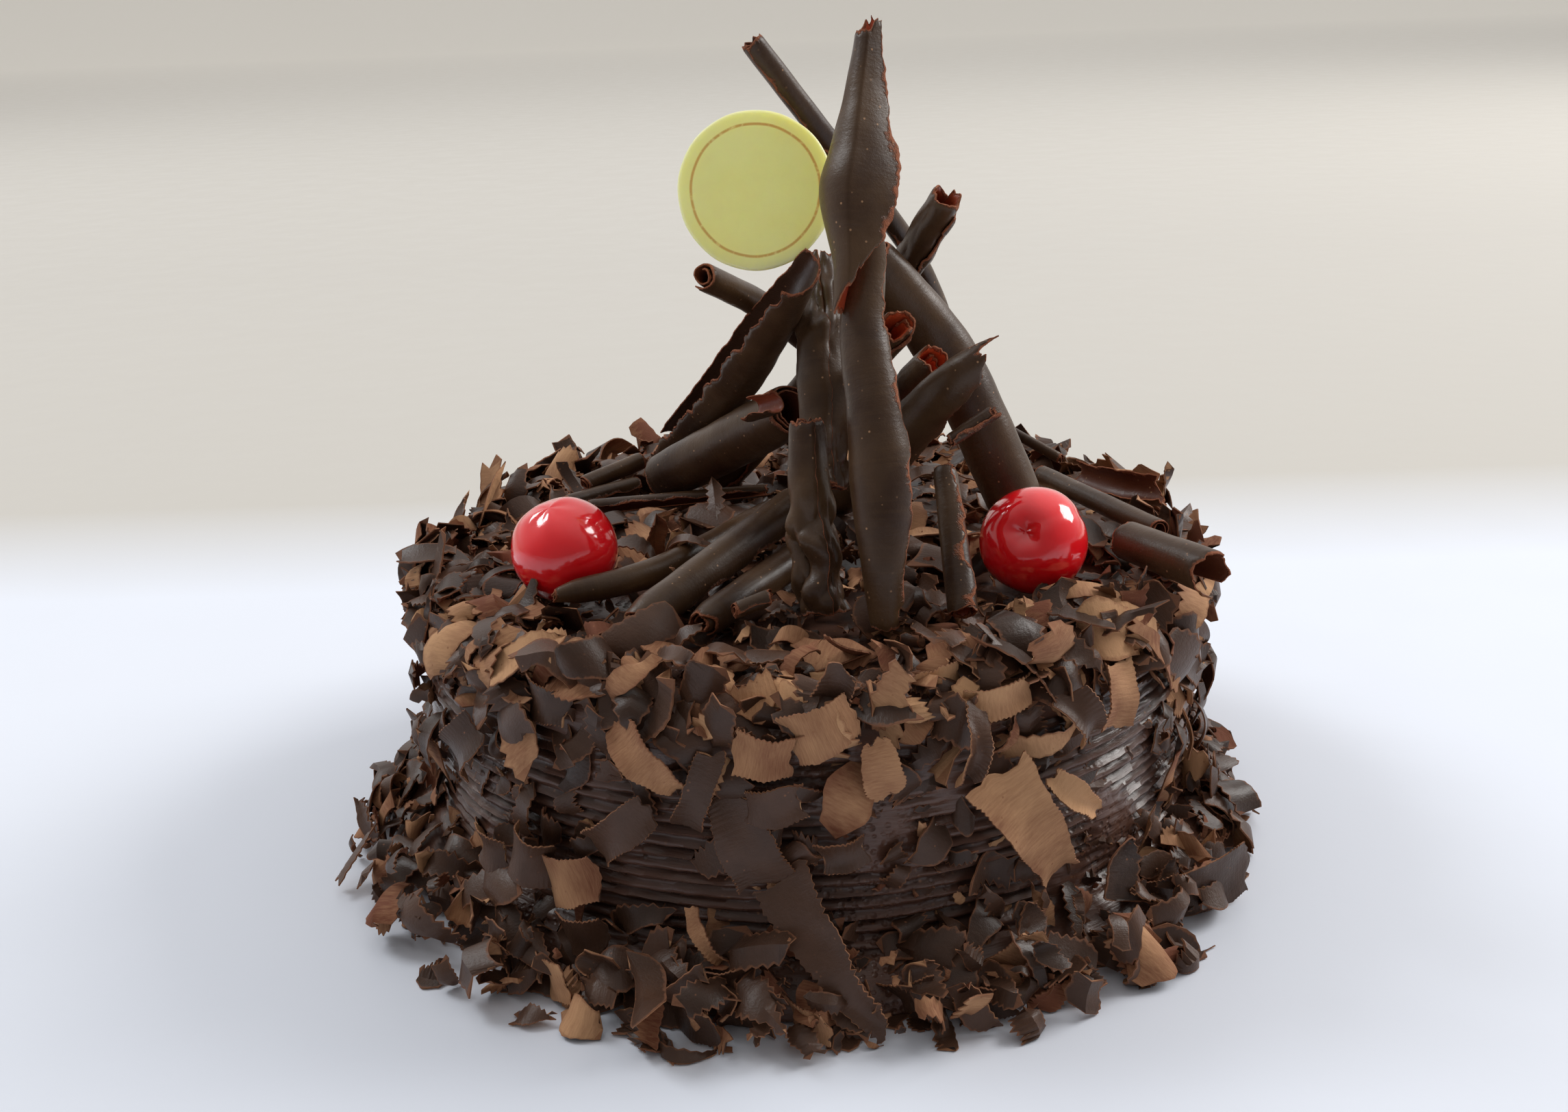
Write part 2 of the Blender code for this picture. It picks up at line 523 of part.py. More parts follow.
def flakes(rng):
    """Make the fused flakes as loose objects, leaving out any that would meet a topping."""
    centres, reach = topping_spheres()
    faces = flake_faces()
    made = []
    taken = []
    for start, end, *sizes in LARGE_FLAKES:
        points = lift_off_floor(large_flake_points(start, end, *sizes))
        if clear_of(points, centres, reach):
            taken.append(points.mean(axis=0))
            made.append(place(f"flake_{len(made)}", points, faces, "cake_chocolate"))
    large = np.array(taken)
    for seat, normal, factor in seats(rng):
        length = factor * rng.uniform(*FLAKE_LENGTHS)
        width = factor * rng.uniform(*FLAKE_WIDTHS)
        curl = rng.uniform(*FLAKE_CURLS)
        points = flake_points(rng, length, width, curl)
        up = np.array(normal) / np.linalg.norm(normal)
        spin, lean = rng.uniform(0.0, 2 * math.pi), rng.uniform(-0.75, 0.75)
        first = unit(np.cross(up, np.array([0.31, 0.17, 0.93])) + 1e-6)
        second = np.cross(up, first)
        forward = math.cos(spin) * first + math.sin(spin) * second
        sideways = np.cross(up, forward)
        tipped = math.cos(lean) * forward + math.sin(lean) * up
        raised = np.cross(tipped, sideways)
        world = points[:, :1] * tipped + points[:, 1:2] * sideways + points[:, 2:] * raised
        lowest = (world @ up).min()
        world = world + np.array(seat) - up * (lowest + FLAKE_SINK)
        world = lift_off_floor(world)
        crowded = np.linalg.norm(large - np.array(seat), axis=1).min() < FLAKE_SPACING
        if crowded or not clear_of(world, centres, reach):
            continue
        made.append(place(f"flake_{len(made)}", world, faces, "cake_chocolate"))
    return made


def clear_of(points, centres, reach):
    """Say whether a flake keeps its clearance from every ball of the toppings."""
    samples = np.concatenate([points, (points[:, None] + points[None]).reshape(-1, 3) / 2])
    gap = np.linalg.norm(samples[:, None] - centres[None], axis=2) - reach[None]
    return gap.min() >= CLEARANCE


def keep_largest(item):
    """Drop any scrap that a union leaves apart from the main body."""
    shape = bmesh.new()
    shape.from_mesh(item.data)
    shape.verts.ensure_lookup_table()
    left = set(shape.verts)
    groups = []
    while left:
        stack = [left.pop()]
        group = set(stack)
        while stack:
            for edge in stack.pop().link_edges:
                for vert in edge.verts:
                    if vert in left:
                        left.discard(vert)
                        group.add(vert)
                        stack.append(vert)
        groups.append(group)
    groups.sort(key=len, reverse=True)
    bmesh.ops.delete(shape, geom=[v for group in groups[1:] for v in group], context="VERTS")
    bmesh.ops.dissolve_degenerate(shape, dist=1e-6, edges=shape.edges)
    bmesh.ops.triangulate(shape, faces=shape.faces)
    shape.to_mesh(item.data)
    shape.free()


def cake():
    """Build the cake: the drum with its flakes joined on by one union."""
    rng = np.random.default_rng(SEED)
    body = drum()
    group = bpy.data.collections.new("flakes")
    bpy.context.scene.collection.children.link(group)
    for item in flakes(rng):
        bpy.context.scene.collection.objects.unlink(item)
        group.objects.link(item)
    union = body.modifiers.new("join", "BOOLEAN")
    union.operation = "UNION"
    union.operand_type = "COLLECTION"
    union.collection = group
    union.solver = "EXACT"
    union.use_self = True
    bpy.context.view_layer.objects.active = body
    bpy.ops.object.modifier_apply(modifier=union.name)
    for item in list(group.objects):
        bpy.data.objects.remove(item, do_unlink=True)
    bpy.data.collections.remove(group)
    keep_largest(body)
    keep = body.data.materials[0]
    body.data.materials.clear()
    body.data.materials.append(keep)
    return body


def build():
    """Build every piece of the cake."""
    clear_scene()
    cake()
    for name, roll in ROLLS.items():
        rolled_sheet(name, roll)
    for name, item in CHERRIES.items():
        cherry(name, **item)
    plaque()


build()
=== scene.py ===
"""Dress the chocolate cherry cake: combed cream, curled shavings, rolled sheets, cherries, disc.

Sizes are in millimetres and every mesh is scaled to metres as it is made. Each sheet of
chocolate is a grid of places with a wall, closed all round, so every piece is a solid.
"""

import logging
import math
from dataclasses import dataclass, field
from enum import Enum
from typing import Dict, List, Sequence, Tuple

import bpy
import numpy as np
from mathutils import Matrix, Vector


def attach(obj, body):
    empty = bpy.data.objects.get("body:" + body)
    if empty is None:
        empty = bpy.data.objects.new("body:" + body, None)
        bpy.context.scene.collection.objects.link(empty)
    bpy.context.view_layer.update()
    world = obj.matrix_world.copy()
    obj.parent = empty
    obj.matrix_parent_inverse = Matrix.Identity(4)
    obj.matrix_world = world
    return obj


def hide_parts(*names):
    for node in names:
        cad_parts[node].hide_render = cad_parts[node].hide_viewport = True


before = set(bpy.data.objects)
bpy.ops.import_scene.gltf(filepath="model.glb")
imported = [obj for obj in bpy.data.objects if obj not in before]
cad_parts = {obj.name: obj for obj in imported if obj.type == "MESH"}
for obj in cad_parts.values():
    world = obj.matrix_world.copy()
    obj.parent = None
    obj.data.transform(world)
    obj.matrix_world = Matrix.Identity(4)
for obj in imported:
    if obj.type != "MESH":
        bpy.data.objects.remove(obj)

MM = 0.001
TURN = 2.0 * math.pi
LOG = logging.getLogger("cake")

Triple = Tuple[float, float, float]
Colour = Tuple[float, float, float, float]
Span = Tuple[float, float]


def unit(vectors: np.ndarray) -> np.ndarray:
    """Scale vectors to length one, along the last axis.

    Args:
        vectors: Any array whose last axis holds x, y and z.

    Returns:
        The same array with every vector of length one.
    """
    lengths = np.linalg.norm(vectors, axis=-1, keepdims=True)
    return vectors / np.maximum(lengths, 1e-9)


def display(red: float, green: float, blue: float) -> Colour:
    """Turn 0 to 255 display values into linear colour.

    Args:
        red: Display red.
        green: Display green.
        blue: Display blue.

    Returns:
        Linear red, green and blue, and an alpha of one.
    """
    parts = np.array([red, green, blue]) / 255.0
    flat = np.where(parts <= 0.04045, parts / 12.92, ((parts + 0.055) / 1.055) ** 2.4)
    return float(flat[0]), float(flat[1]), float(flat[2]), 1.0


def smooth_step(values: np.ndarray, low: float, high: float) -> np.ndarray:
    """Rise smoothly from 0 at `low` to 1 at `high`: 3t squared less 2t cubed.

    Args:
        values: Where to read the step.
        low: The place where the rise starts.
        high: The place where it ends.

    Returns:
        The step at each value.
    """
    share = np.clip((values - low) / (high - low), 0.0, 1.0)
    return share * share * (3.0 - 2.0 * share)


def waves(position: np.ndarray, seed: int, slow: float = 0.35, fast: float = 4.0) -> np.ndarray:
    """Sum nine sines whose rates run from slow to fast and whose sizes fall with the rate.

    Args:
        position: Places along a line, in millimetres.
        seed: Picks the phases.
        slow: The lowest rate, in radians a millimetre.
        fast: The highest rate.

    Returns:
        A wandering value between about -1 and 1 at each place.
    """
    rates = np.geomspace(slow, fast, 9)
    phases = np.random.default_rng(seed).uniform(0.0, TURN, 9)
    sizes = rates ** -0.8
    sizes = sizes / np.sqrt((sizes ** 2).sum()) / 1.1
    return (sizes * np.sin(position[..., None] * rates + phases)).sum(axis=-1)


def ragged(position: np.ndarray, seed: int, depth: float) -> np.ndarray:
    """Say how far a torn edge is eaten away: waves, always on the near side of the edge.

    Args:
        position: Places along the edge, in millimetres.
        seed: Picks the tear.
        depth: The deepest bite, in millimetres.

    Returns:
        Millimetres from 0 to `depth` at each place.
    """
    return depth * np.clip(0.5 + 0.5 * waves(position, seed), 0.0, 1.0)


def curve_through(values: np.ndarray, shares: np.ndarray, wanted: np.ndarray) -> np.ndarray:
    """Read a smooth curve through the values, as the part's own routes are read.

    Each span is a cubic whose end slopes are those of the chord over the two neighbours.

    Args:
        values: The points that the curve passes through.
        shares: Each point's share of the length.
        wanted: The shares to read at.

    Returns:
        One point for each wanted share.
    """
    slopes = np.gradient(values, shares, axis=0)
    span = np.clip(np.searchsorted(shares, wanted, side="right") - 1, 0, len(shares) - 2)
    width = (shares[span + 1] - shares[span])[:, None]
    t = ((wanted - shares[span])[:, None]) / width
    start = (2 * t**3 - 3 * t**2 + 1) * values[span] + (t**3 - 2 * t**2 + t) * width * slopes[span]
    return (start + (3 * t**2 - 2 * t**3) * values[span + 1]
            + (t**3 - t**2) * width * slopes[span + 1])


def eased_line(count: int, rim: float) -> np.ndarray:
    """Space shares from 0 to 1 evenly, with one more close to each end for a crisp rim.

    Args:
        count: How many shares in all.
        rim: The share at which the first inner one lies.

    Returns:
        The shares in order.
    """
    inner = np.linspace(rim, 1.0 - rim, count - 2)
    return np.concatenate([[0.0], inner, [1.0]])


@dataclass
class MeshParts:
    """Points, faces and marks of one mesh, before it is made."""

    points: np.ndarray
    faces: List[np.ndarray]
    marks: Dict[str, np.ndarray] = field(default_factory=dict)

    @staticmethod
    def joined(parts: Sequence["MeshParts"]) -> "MeshParts":
        """Put several meshes into one.

        Args:
            parts: Meshes that all carry the same marks.

        Returns:
            The one mesh.
        """
        starts = np.cumsum([0] + [len(part.points) for part in parts])
        faces = [face + start for part, start in zip(parts, starts) for face in part.faces]
        marks = {name: np.concatenate([part.marks[name] for part in parts])
                 for name in parts[0].marks}
        return MeshParts(np.concatenate([part.points for part in parts]), faces, marks)

    def count(self) -> int:
        """Return how many triangles the faces make."""
        return int(sum(len(face) * (face.shape[1] - 2) for face in self.faces))

    def make(self, name: str, material: bpy.types.Material, sharp: float = 50.0) -> bpy.types.Object:
        """Make the object, in metres, with its marks as point attributes.

        Args:
            name: The object's name.
            material: Its finish.
            sharp: Edges that turn by more than this many degrees stay sharp.

        Returns:
            The new object.
        """
        mesh = bpy.data.meshes.new(name)
        mesh.vertices.add(len(self.points))
        mesh.vertices.foreach_set("co", (self.points * MM).astype(np.float32).ravel())
        corners = np.concatenate([face.ravel() for face in self.faces]).astype(np.int32)
        sizes = np.concatenate([np.full(len(face), face.shape[1]) for face in self.faces])
        mesh.loops.add(len(corners))
        mesh.loops.foreach_set("vertex_index", corners)
        mesh.polygons.add(len(sizes))
        mesh.polygons.foreach_set("loop_start", (np.cumsum(sizes) - sizes).astype(np.int32))
        for mark, values in self.marks.items():
            kind, key = ("FLOAT", "value") if values.ndim == 1 else ("FLOAT_VECTOR", "vector")
            attribute = mesh.attributes.new(mark, kind, "POINT")
            attribute.data.foreach_set(key, values.astype(np.float32).ravel())
        mesh.update(calc_edges=True)
        mesh.validate()
        mesh.shade_smooth()
        mesh.set_sharp_from_angle(angle=math.radians(sharp))
        mesh.materials.append(material)
        item = bpy.data.objects.new(name, mesh)
        bpy.context.scene.collection.objects.link(item)
        return item


def grid_faces(rows: int, columns: int) -> np.ndarray:
    """List the squares of a grid whose points run along its columns first.

    Args:
        rows: Points down the grid.
        columns: Points across it.

    Returns:
        Four indices a square, turning so that the face looks along rows cross columns.
    """
    index = np.arange(rows * columns).reshape(rows, columns)
    square = [index[:-1, :-1], index[1:, :-1], index[1:, 1:], index[:-1, 1:]]
    return np.stack(square, axis=-1).reshape(-1, 4)


def ring_of_border(rows: int, columns: int) -> np.ndarray:
    """List a grid's border points once round, in the direction that its faces turn."""
    index = np.arange(rows * columns).reshape(rows, columns)
    return np.concatenate([index[:-1, 0], index[-1, :-1], index[:0:-1, -1], index[0, :0:-1]])


def turned_faces(rings: int, sides: int, downwards: bool = False) -> List[np.ndarray]:
    """List the faces of a turned shape: squares between its rings and a fan at each end.

    The points are the rings one after another, then the first end's pole and the last's.

    Args:
        rings: How many rings it has.
        sides: Points in each ring.
        downwards: Whether the rings run down the axis instead of up.

    Returns:
        The squares, then the two fans, all facing outwards.
    """
    index = np.arange(rings * sides).reshape(rings, sides)
    following = np.roll(index, -1, axis=1)
    squares = np.stack([index[:-1], following[:-1], following[1:], index[1:]], axis=-1)
    squares = squares.reshape(-1, 4)
    pole = rings * sides
    first = np.stack([following[0], index[0], np.full(sides, pole)], axis=-1)
    last = np.stack([index[-1], following[-1], np.full(sides, pole + 1)], axis=-1)
    if downwards:
        return [squares[:, [0, 3, 2, 1]], first[:, ::-1], last[:, ::-1]]
    return [squares, first, last]


def aimed(points: np.ndarray, axis: Triple, centre: Triple) -> np.ndarray:
    """Turn a shape made about z so that its z runs along an axis, and move it to its centre.

    Args:
        points: The shape's points.
        axis: Where its z is to point.
        centre: Where its origin is to be.

    Returns:
        The points in place.
    """
    matrix = np.array(Vector(axis).normalized().to_track_quat("Z", "Y").to_matrix())
    return points @ matrix.T + np.array(centre)


@dataclass
class Sheets:
    """A batch of curved sheets that share one grid size, each with a wall of its own.

    Every array starts with the sheet's number, then its rows and its columns.
    """

    middle: np.ndarray
    wall: np.ndarray
    torn: np.ndarray
    # Each sheet's tone; on rolls it is the amount of painted glow, and on shavings it also holds
    # painted shade by zone
    tone_and_painted_light: np.ndarray
    grain: np.ndarray
    light_side: np.ndarray

    def shells(self) -> MeshParts:
        """Close each sheet: its middle moved half a wall both ways along the normal.

        The normal is the cross product of the steps along rows and along columns. A strip
        of squares round the border joins the two skins.

        Returns:
            One mesh with the marks torn, skin, grain and the tone mark, which carries each sheet's
            tone, painted glow on rolls and painted shade on shavings.
        """
        number, rows, columns, _ = self.middle.shape
        down = np.gradient(self.middle, axis=1)
        across = np.gradient(self.middle, axis=2)
        normal = unit(np.cross(down, across))
        half = 0.5 * self.wall[..., None] * normal
        skins = np.stack([self.middle + half, self.middle - half], axis=1)

        size = rows * columns
        top = grid_faces(rows, columns)
        border = ring_of_border(rows, columns)
        following = np.roll(border, -1)
        strip = np.stack([following, border, border + size, following + size], axis=-1)
        one = np.concatenate([top, top[:, ::-1] + size, strip])
        faces = one[None] + (np.arange(number) * 2 * size)[:, None, None]

        light = self.light_side[:, None, None, None]
        sides = np.concatenate([light, 1.0 - light], axis=1)
        both = np.ones((number, 2, rows, columns))
        marks = {
            "skin": (both * sides).ravel(),
            "torn": (both * self.torn[:, None]).ravel(),
            "tone_and_painted_light": (both * self.tone_and_painted_light[:, None, None, None]).ravel(),
            "grain": np.repeat(self.grain[:, None], 2, axis=1).reshape(-1, 3),
        }
        return MeshParts(skins.reshape(-1, 3), [faces.reshape(-1, 4)], marks)


class Socket(Enum):
    """Names of the sockets that the finishes set most."""

    COLOUR = "Base Color"
    ROUGH = "Roughness"
    NORMAL = "Normal"


@dataclass
class NodeBook:
    """Adds and joins the nodes of one material."""

    name: str

    def __post_init__(self) -> None:
        """Make the material with its shader."""
        self.material = bpy.data.materials.new(self.name)
        self.material.use_nodes = True
        self.tree = self.material.node_tree
        self.shader = self.tree.nodes["Principled BSDF"]
        self.place = self.tree.nodes.new("ShaderNodeTexCoord").outputs["Object"]

    def join(self, source: bpy.types.NodeSocket, target: bpy.types.NodeSocket) -> None:
        """Link one socket to another."""
        self.tree.links.new(source, target)

    def fixed(self, **values: float) -> None:
        """Set the shader's own sockets; an underscore in a name stands for a space."""
        for key, value in values.items():
            self.shader.inputs[key.replace("_", " ")].default_value = value

    def mark(self, name: str) -> bpy.types.NodeSocket:
        """Read one of the mesh's own point attributes, as a number.

        Args:
            name: The attribute's name.

        Returns:
            Its value.
        """
        node = self.tree.nodes.new("ShaderNodeAttribute")
        node.attribute_name = name
        return node.outputs["Fac"]

    def grain(self, scale: Triple) -> bpy.types.NodeSocket:
        """Read the mesh's own flat places along and across the sheet, and scale them.

        Args:
            scale: Factors along, across and for the sheet's own number.

        Returns:
            The scaled place.
        """
        node = self.tree.nodes.new("ShaderNodeAttribute")
        node.attribute_name = "grain"
        return self.stretch(node.outputs["Vector"], scale)

    def stretch(self, source: bpy.types.NodeSocket, scale: Triple) -> bpy.types.NodeSocket:
        """Scale a pattern's place.

        Args:
            source: The place to change.
            scale: Factors along x, y and z.

        Returns:
            The changed place.
        """
        node = self.tree.nodes.new("ShaderNodeMapping")
        node.inputs["Scale"].default_value = scale
        self.join(source, node.inputs["Vector"])
        return node.outputs["Vector"]

    def part(self, source: bpy.types.NodeSocket, axis: str) -> bpy.types.NodeSocket:
        """Read one coordinate of a place.

        Args:
            source: The place.
            axis: X, Y or Z.

        Returns:
            That coordinate.
        """
        split = self.tree.nodes.new("ShaderNodeSeparateXYZ")
        self.join(source, split.inputs[0])
        return split.outputs[axis]

    def noise(self, scale: float, detail: float = 3.0, rough: float = 0.55,
              place: bpy.types.NodeSocket = None) -> bpy.types.NodeSocket:
        """Add cloudy noise.

        Args:
            scale: Features a metre, or a unit of `place`.
            detail: How many finer layers it has.
            rough: How strong the finer layers are.
            place: Where it is read, object coordinates if left out.

        Returns:
            Its value, about 0.5.
        """
        node = self.tree.nodes.new("ShaderNodeTexNoise")
        node.inputs["Scale"].default_value = scale
        node.inputs["Detail"].default_value = detail
        node.inputs["Roughness"].default_value = rough
        self.join(place or self.place, node.inputs["Vector"])
        return node.outputs["Fac"]

    def cells(self, scale: float) -> bpy.types.NodeSocket:
        """Add the distance to scattered points.

        Args:
            scale: Points a metre.

        Returns:
            The distance, in units of their spacing.
        """
        node = self.tree.nodes.new("ShaderNodeTexVoronoi")
        node.inputs["Scale"].default_value = scale
        self.join(self.place, node.inputs["Vector"])
        return node.outputs["Distance"]

    def specks(self, scale: float, fade: Span, strength: float, cloud: Span,
               patch: Span) -> bpy.types.NodeSocket:
        """Strew small round specks, thick in some patches and missing elsewhere.

        Args:
            scale: Specks a metre.
            fade: Distances at which a speck starts to fade and is gone.
            strength: The share of speck in its middle.
            cloud: Scale and detail of the noise that makes the patches.
            patch: The noise's values at which specks start and at which all show.

        Returns:
            The share of speck at each point.
        """
        spot = self.ramp(self.cells(scale), *fade, strength, 0.0)
        return self.reckon("MULTIPLY", spot, self.ramp(self.noise(*cloud), *patch))

    def ramp(self, source: bpy.types.NodeSocket, low: float, high: float,
             start: float = 0.0, end: float = 1.0) -> bpy.types.NodeSocket:
        """Map low to high onto start to end, and hold the ends.

        Args:
            source: The value to map.
            low: The value that gives `start`.
            high: The value that gives `end`.
            start: The first result.
            end: The last result.

        Returns:
            The mapped value.
        """
        node = self.tree.nodes.new("ShaderNodeMapRange")
        node.clamp = True
        given = {"From Min": low, "From Max": high, "To Min": start, "To Max": end}
        for key, value in given.items():
            node.inputs[key].default_value = value
        self.join(source, node.inputs["Value"])
        return node.outputs["Result"]

    def reckon(self, operation: str, first: bpy.types.NodeSocket,
               second: object) -> bpy.types.NodeSocket:
        """Combine a value with another value or a number.

        Args:
            operation: ADD, MULTIPLY, MAXIMUM or another of the Math node's names.
            first: The first value.
            second: The other value, a socket or a number.

        Returns:
            The result.
        """
        node = self.tree.nodes.new("ShaderNodeMath")
        node.operation = operation
        self.join(first, node.inputs[0])
        if isinstance(second, bpy.types.NodeSocket):
            self.join(second, node.inputs[1])
        else:
            node.inputs[1].default_value = second
        return node.outputs[0]

    def blend(self, share: bpy.types.NodeSocket, first: object,
              second: object) -> bpy.types.NodeSocket:
        """Mix two colours, each a socket or a linear colour, by a share.

        Args:
            share: 0 gives the first colour and 1 the second.
            first: The first colour.
            second: The second colour.

        Returns:
            The mixed colour.
        """
        node = self.tree.nodes.new("ShaderNodeMix")
        node.data_type = "RGBA"
        self.join(share, node.inputs[0])
        for value, target in ((first, node.inputs[6]), (second, node.inputs[7])):
            if isinstance(value, bpy.types.NodeSocket):
                self.join(value, target)
            else:
                target.default_value = value
        return node.outputs[2]

    def relief(self, height: bpy.types.NodeSocket, depth: float, strength: float,
               under: bpy.types.NodeSocket = None) -> bpy.types.NodeSocket:
        """Raise the surface by a height pattern.

        Args:
            height: The pattern, 0 to 1.
            depth: How high 1 stands, in metres.
            strength: How much of it shows.
            under: A coarser relief that this one lies on.

        Returns:
            The normal.
        """
        node = self.tree.nodes.new("ShaderNodeBump")
        node.inputs["Strength"].default_value = strength
        node.inputs["Distance"].default_value = depth
        self.join(height, node.inputs["Height"])
        if under is not None:
            self.join(under, node.inputs["Normal"])
        return node.outputs["Normal"]

    def finish(self, colour: bpy.types.NodeSocket, rough: bpy.types.NodeSocket,
               normal: bpy.types.NodeSocket) -> bpy.types.Material:
        """Join colour, roughness and normal to the shader.

        Args:
            colour: The surface's colour.
            rough: Its roughness.
            normal: Its relief.

        Returns:
            The material.
        """
        given = {Socket.COLOUR: colour, Socket.ROUGH: rough, Socket.NORMAL: normal}
        for socket, source in given.items():
            self.join(source, self.shader.inputs[socket.value])
        return self.material


@dataclass(frozen=True)
class RollFinish:
    """Tempered dark chocolate in sheets: satin outside, redder inside, rough where torn; part of the
    red is painted glow.
    """

    dark: Colour = display(56, 36, 23)
    bloom: Colour = display(84, 61, 40)
    inside: Colour = display(66, 42, 28)
    # Torn colour: partly the broken chocolate's own, partly painted glow of light through the thin
    # edge
    torn: Colour = display(142, 84, 56)
    # Painted glow: light shining through the thin sheet, painted onto the inside
    painted_glow: Colour = display(186, 76, 40)
    crumb: Colour = display(158, 120, 88)

    def material(self) -> bpy.types.Material:
        """Join the nodes of this finish.

        Returns:
            The finish as a material.
        """
        book = NodeBook("rolled_chocolate")
        cloud = book.noise(48.0, 4.0)
        streak = book.noise(1.0, 3.0, 0.6, book.grain((0.9, 0.06, 1.0)))
        colour = book.blend(book.ramp(cloud, 0.38, 0.68), self.dark, self.bloom)
        colour = book.blend(book.ramp(streak, 0.5, 0.75, 0.0, 0.35), colour, self.bloom)
        # The per-roll mark brightens the inside towards the glowing red: painted light through the
        # thin sheet
        lit = book.ramp(book.mark("tone_and_painted_light"), 0.2, 1.0)
        lit = book.reckon("MULTIPLY", lit, book.ramp(cloud, 0.2, 0.6, 0.6, 1.0))
        inner = book.blend(lit, self.inside, self.painted_glow)
        colour = book.blend(book.ramp(book.mark("skin"), 0.35, 0.65), colour, inner)
        fray = book.noise(900.0, 3.0, 0.7)
        frayed = book.reckon("ADD", book.mark("torn"), book.ramp(fray, 0.3, 0.7, -0.28, 0.28))
        edge = book.ramp(frayed, 0.35, 0.75)
        # Torn edges take the torn colour, partly painted glow through the thin edge
        colour = book.blend(edge, colour, self.torn)
        speck = book.specks(430.0, (0.07, 0.12), 1.0, (70.0, 1.0), (0.42, 0.56))
        colour = book.blend(speck, colour, self.crumb)
        rough = book.ramp(book.noise(260.0, 4.0, 0.7), 0.3, 0.75, 0.28, 0.46)
        rough = book.reckon("MAXIMUM", rough, book.ramp(edge, 0.0, 1.0, 0.3, 0.85))
        dents = book.relief(book.noise(120.0, 2.0), 0.0006, 0.35)
        lines = book.relief(streak, 0.0003, 0.15, dents)
        pores = book.relief(book.noise(1700.0, 3.0, 0.7), 0.00012, 0.5, lines)
        scar = book.relief(book.reckon("MULTIPLY", fray, edge), 0.0006, 0.9, pores)
        book.fixed(Specular_IOR_Level=0.32)
        return book.finish(colour, rough, scar)


@dataclass(frozen=True)
class ShavingFinish:
    """Shaved chocolate: one side smooth and dark, the other scraped light and rough."""

    smooth: Colour = display(86, 60, 46)
    smooth_deep: Colour = display(55, 37, 27)
    rough_light: Colour = display(196, 150, 110)
    rough_dark: Colour = display(114, 66, 45)
    edge: Colour = display(138, 90, 62)

    def material(self) -> bpy.types.Material:
        """Join the nodes of this finish.

        Returns:
            The finish as a material.
        """
        book = NodeBook("shaved_chocolate")
        stroke = book.noise(1.0, 3.0, 0.65, book.grain((4.5, 0.35, 1.0)))
        drift = book.noise(1.0, 1.0, 0.5, book.grain((0.3, 0.4, 1.0)))
        shifted = book.reckon("ADD", book.part(book.grain((1.0, 1.0, 1.0)), "X"), drift)
        chatter = book.reckon("MULTIPLY", book.reckon("PINGPONG", shifted, 0.5), 2.0)
        tone_and_painted_light = book.mark("tone_and_painted_light")
        clouded = book.reckon("ADD", tone_and_painted_light, book.noise(170.0, 3.0))
        dark = book.blend(book.ramp(clouded, 0.5, 1.5), self.smooth_deep, self.smooth)
        # The strokes and chatter are painted darker in their grooves: painted shade, laid over the
        # relief below
        painted_groove_shade = book.reckon("ADD", book.ramp(stroke, 0.3, 0.7, -0.16, 0.16),
                             book.ramp(chatter, 0.0, 1.0, -0.03, 0.03))
        patch = book.ramp(book.noise(75.0, 2.0), 0.35, 0.65, -0.3, 0.25)
        shade = book.reckon("ADD", book.reckon("ADD", tone_and_painted_light, painted_groove_shade), patch)
        pale = book.blend(book.ramp(shade, 0.0, 1.0), self.rough_dark, self.rough_light)
        skin = book.ramp(book.mark("skin"), 0.35, 0.65)
        colour = book.blend(skin, dark, pale)
        fray = book.ramp(book.noise(1100.0, 2.0, 0.6), 0.3, 0.7, -0.05, 0.05)
        edge = book.ramp(book.reckon("ADD", book.mark("torn"), fray), 0.9, 0.98, 0.0, 0.6)
        colour = book.blend(edge, colour, self.edge)
        speck = book.specks(420.0, (0.07, 0.13), 0.7, (90.0, 1.0), (0.5, 0.6))
        colour = book.blend(speck, colour, self.edge)
        rough = book.ramp(skin, 0.0, 1.0, 0.38, 0.82)
        rough = book.reckon("MAXIMUM", rough, book.ramp(edge, 0.0, 0.8, 0.3, 0.85))
        deep = book.reckon("MULTIPLY", book.ramp(chatter, 0.0, 1.0),
                           book.ramp(skin, 0.0, 1.0, 0.25, 1.0))
        steps = book.relief(deep, 0.00007, 0.5)
        lines = book.relief(stroke, 0.00012, 0.5, steps)
        pores = book.relief(book.noise(1500.0, 3.0, 0.7), 0.00014, 0.6, lines)
        book.fixed(Specular_IOR_Level=0.3)
        return book.finish(colour, rough, pores)


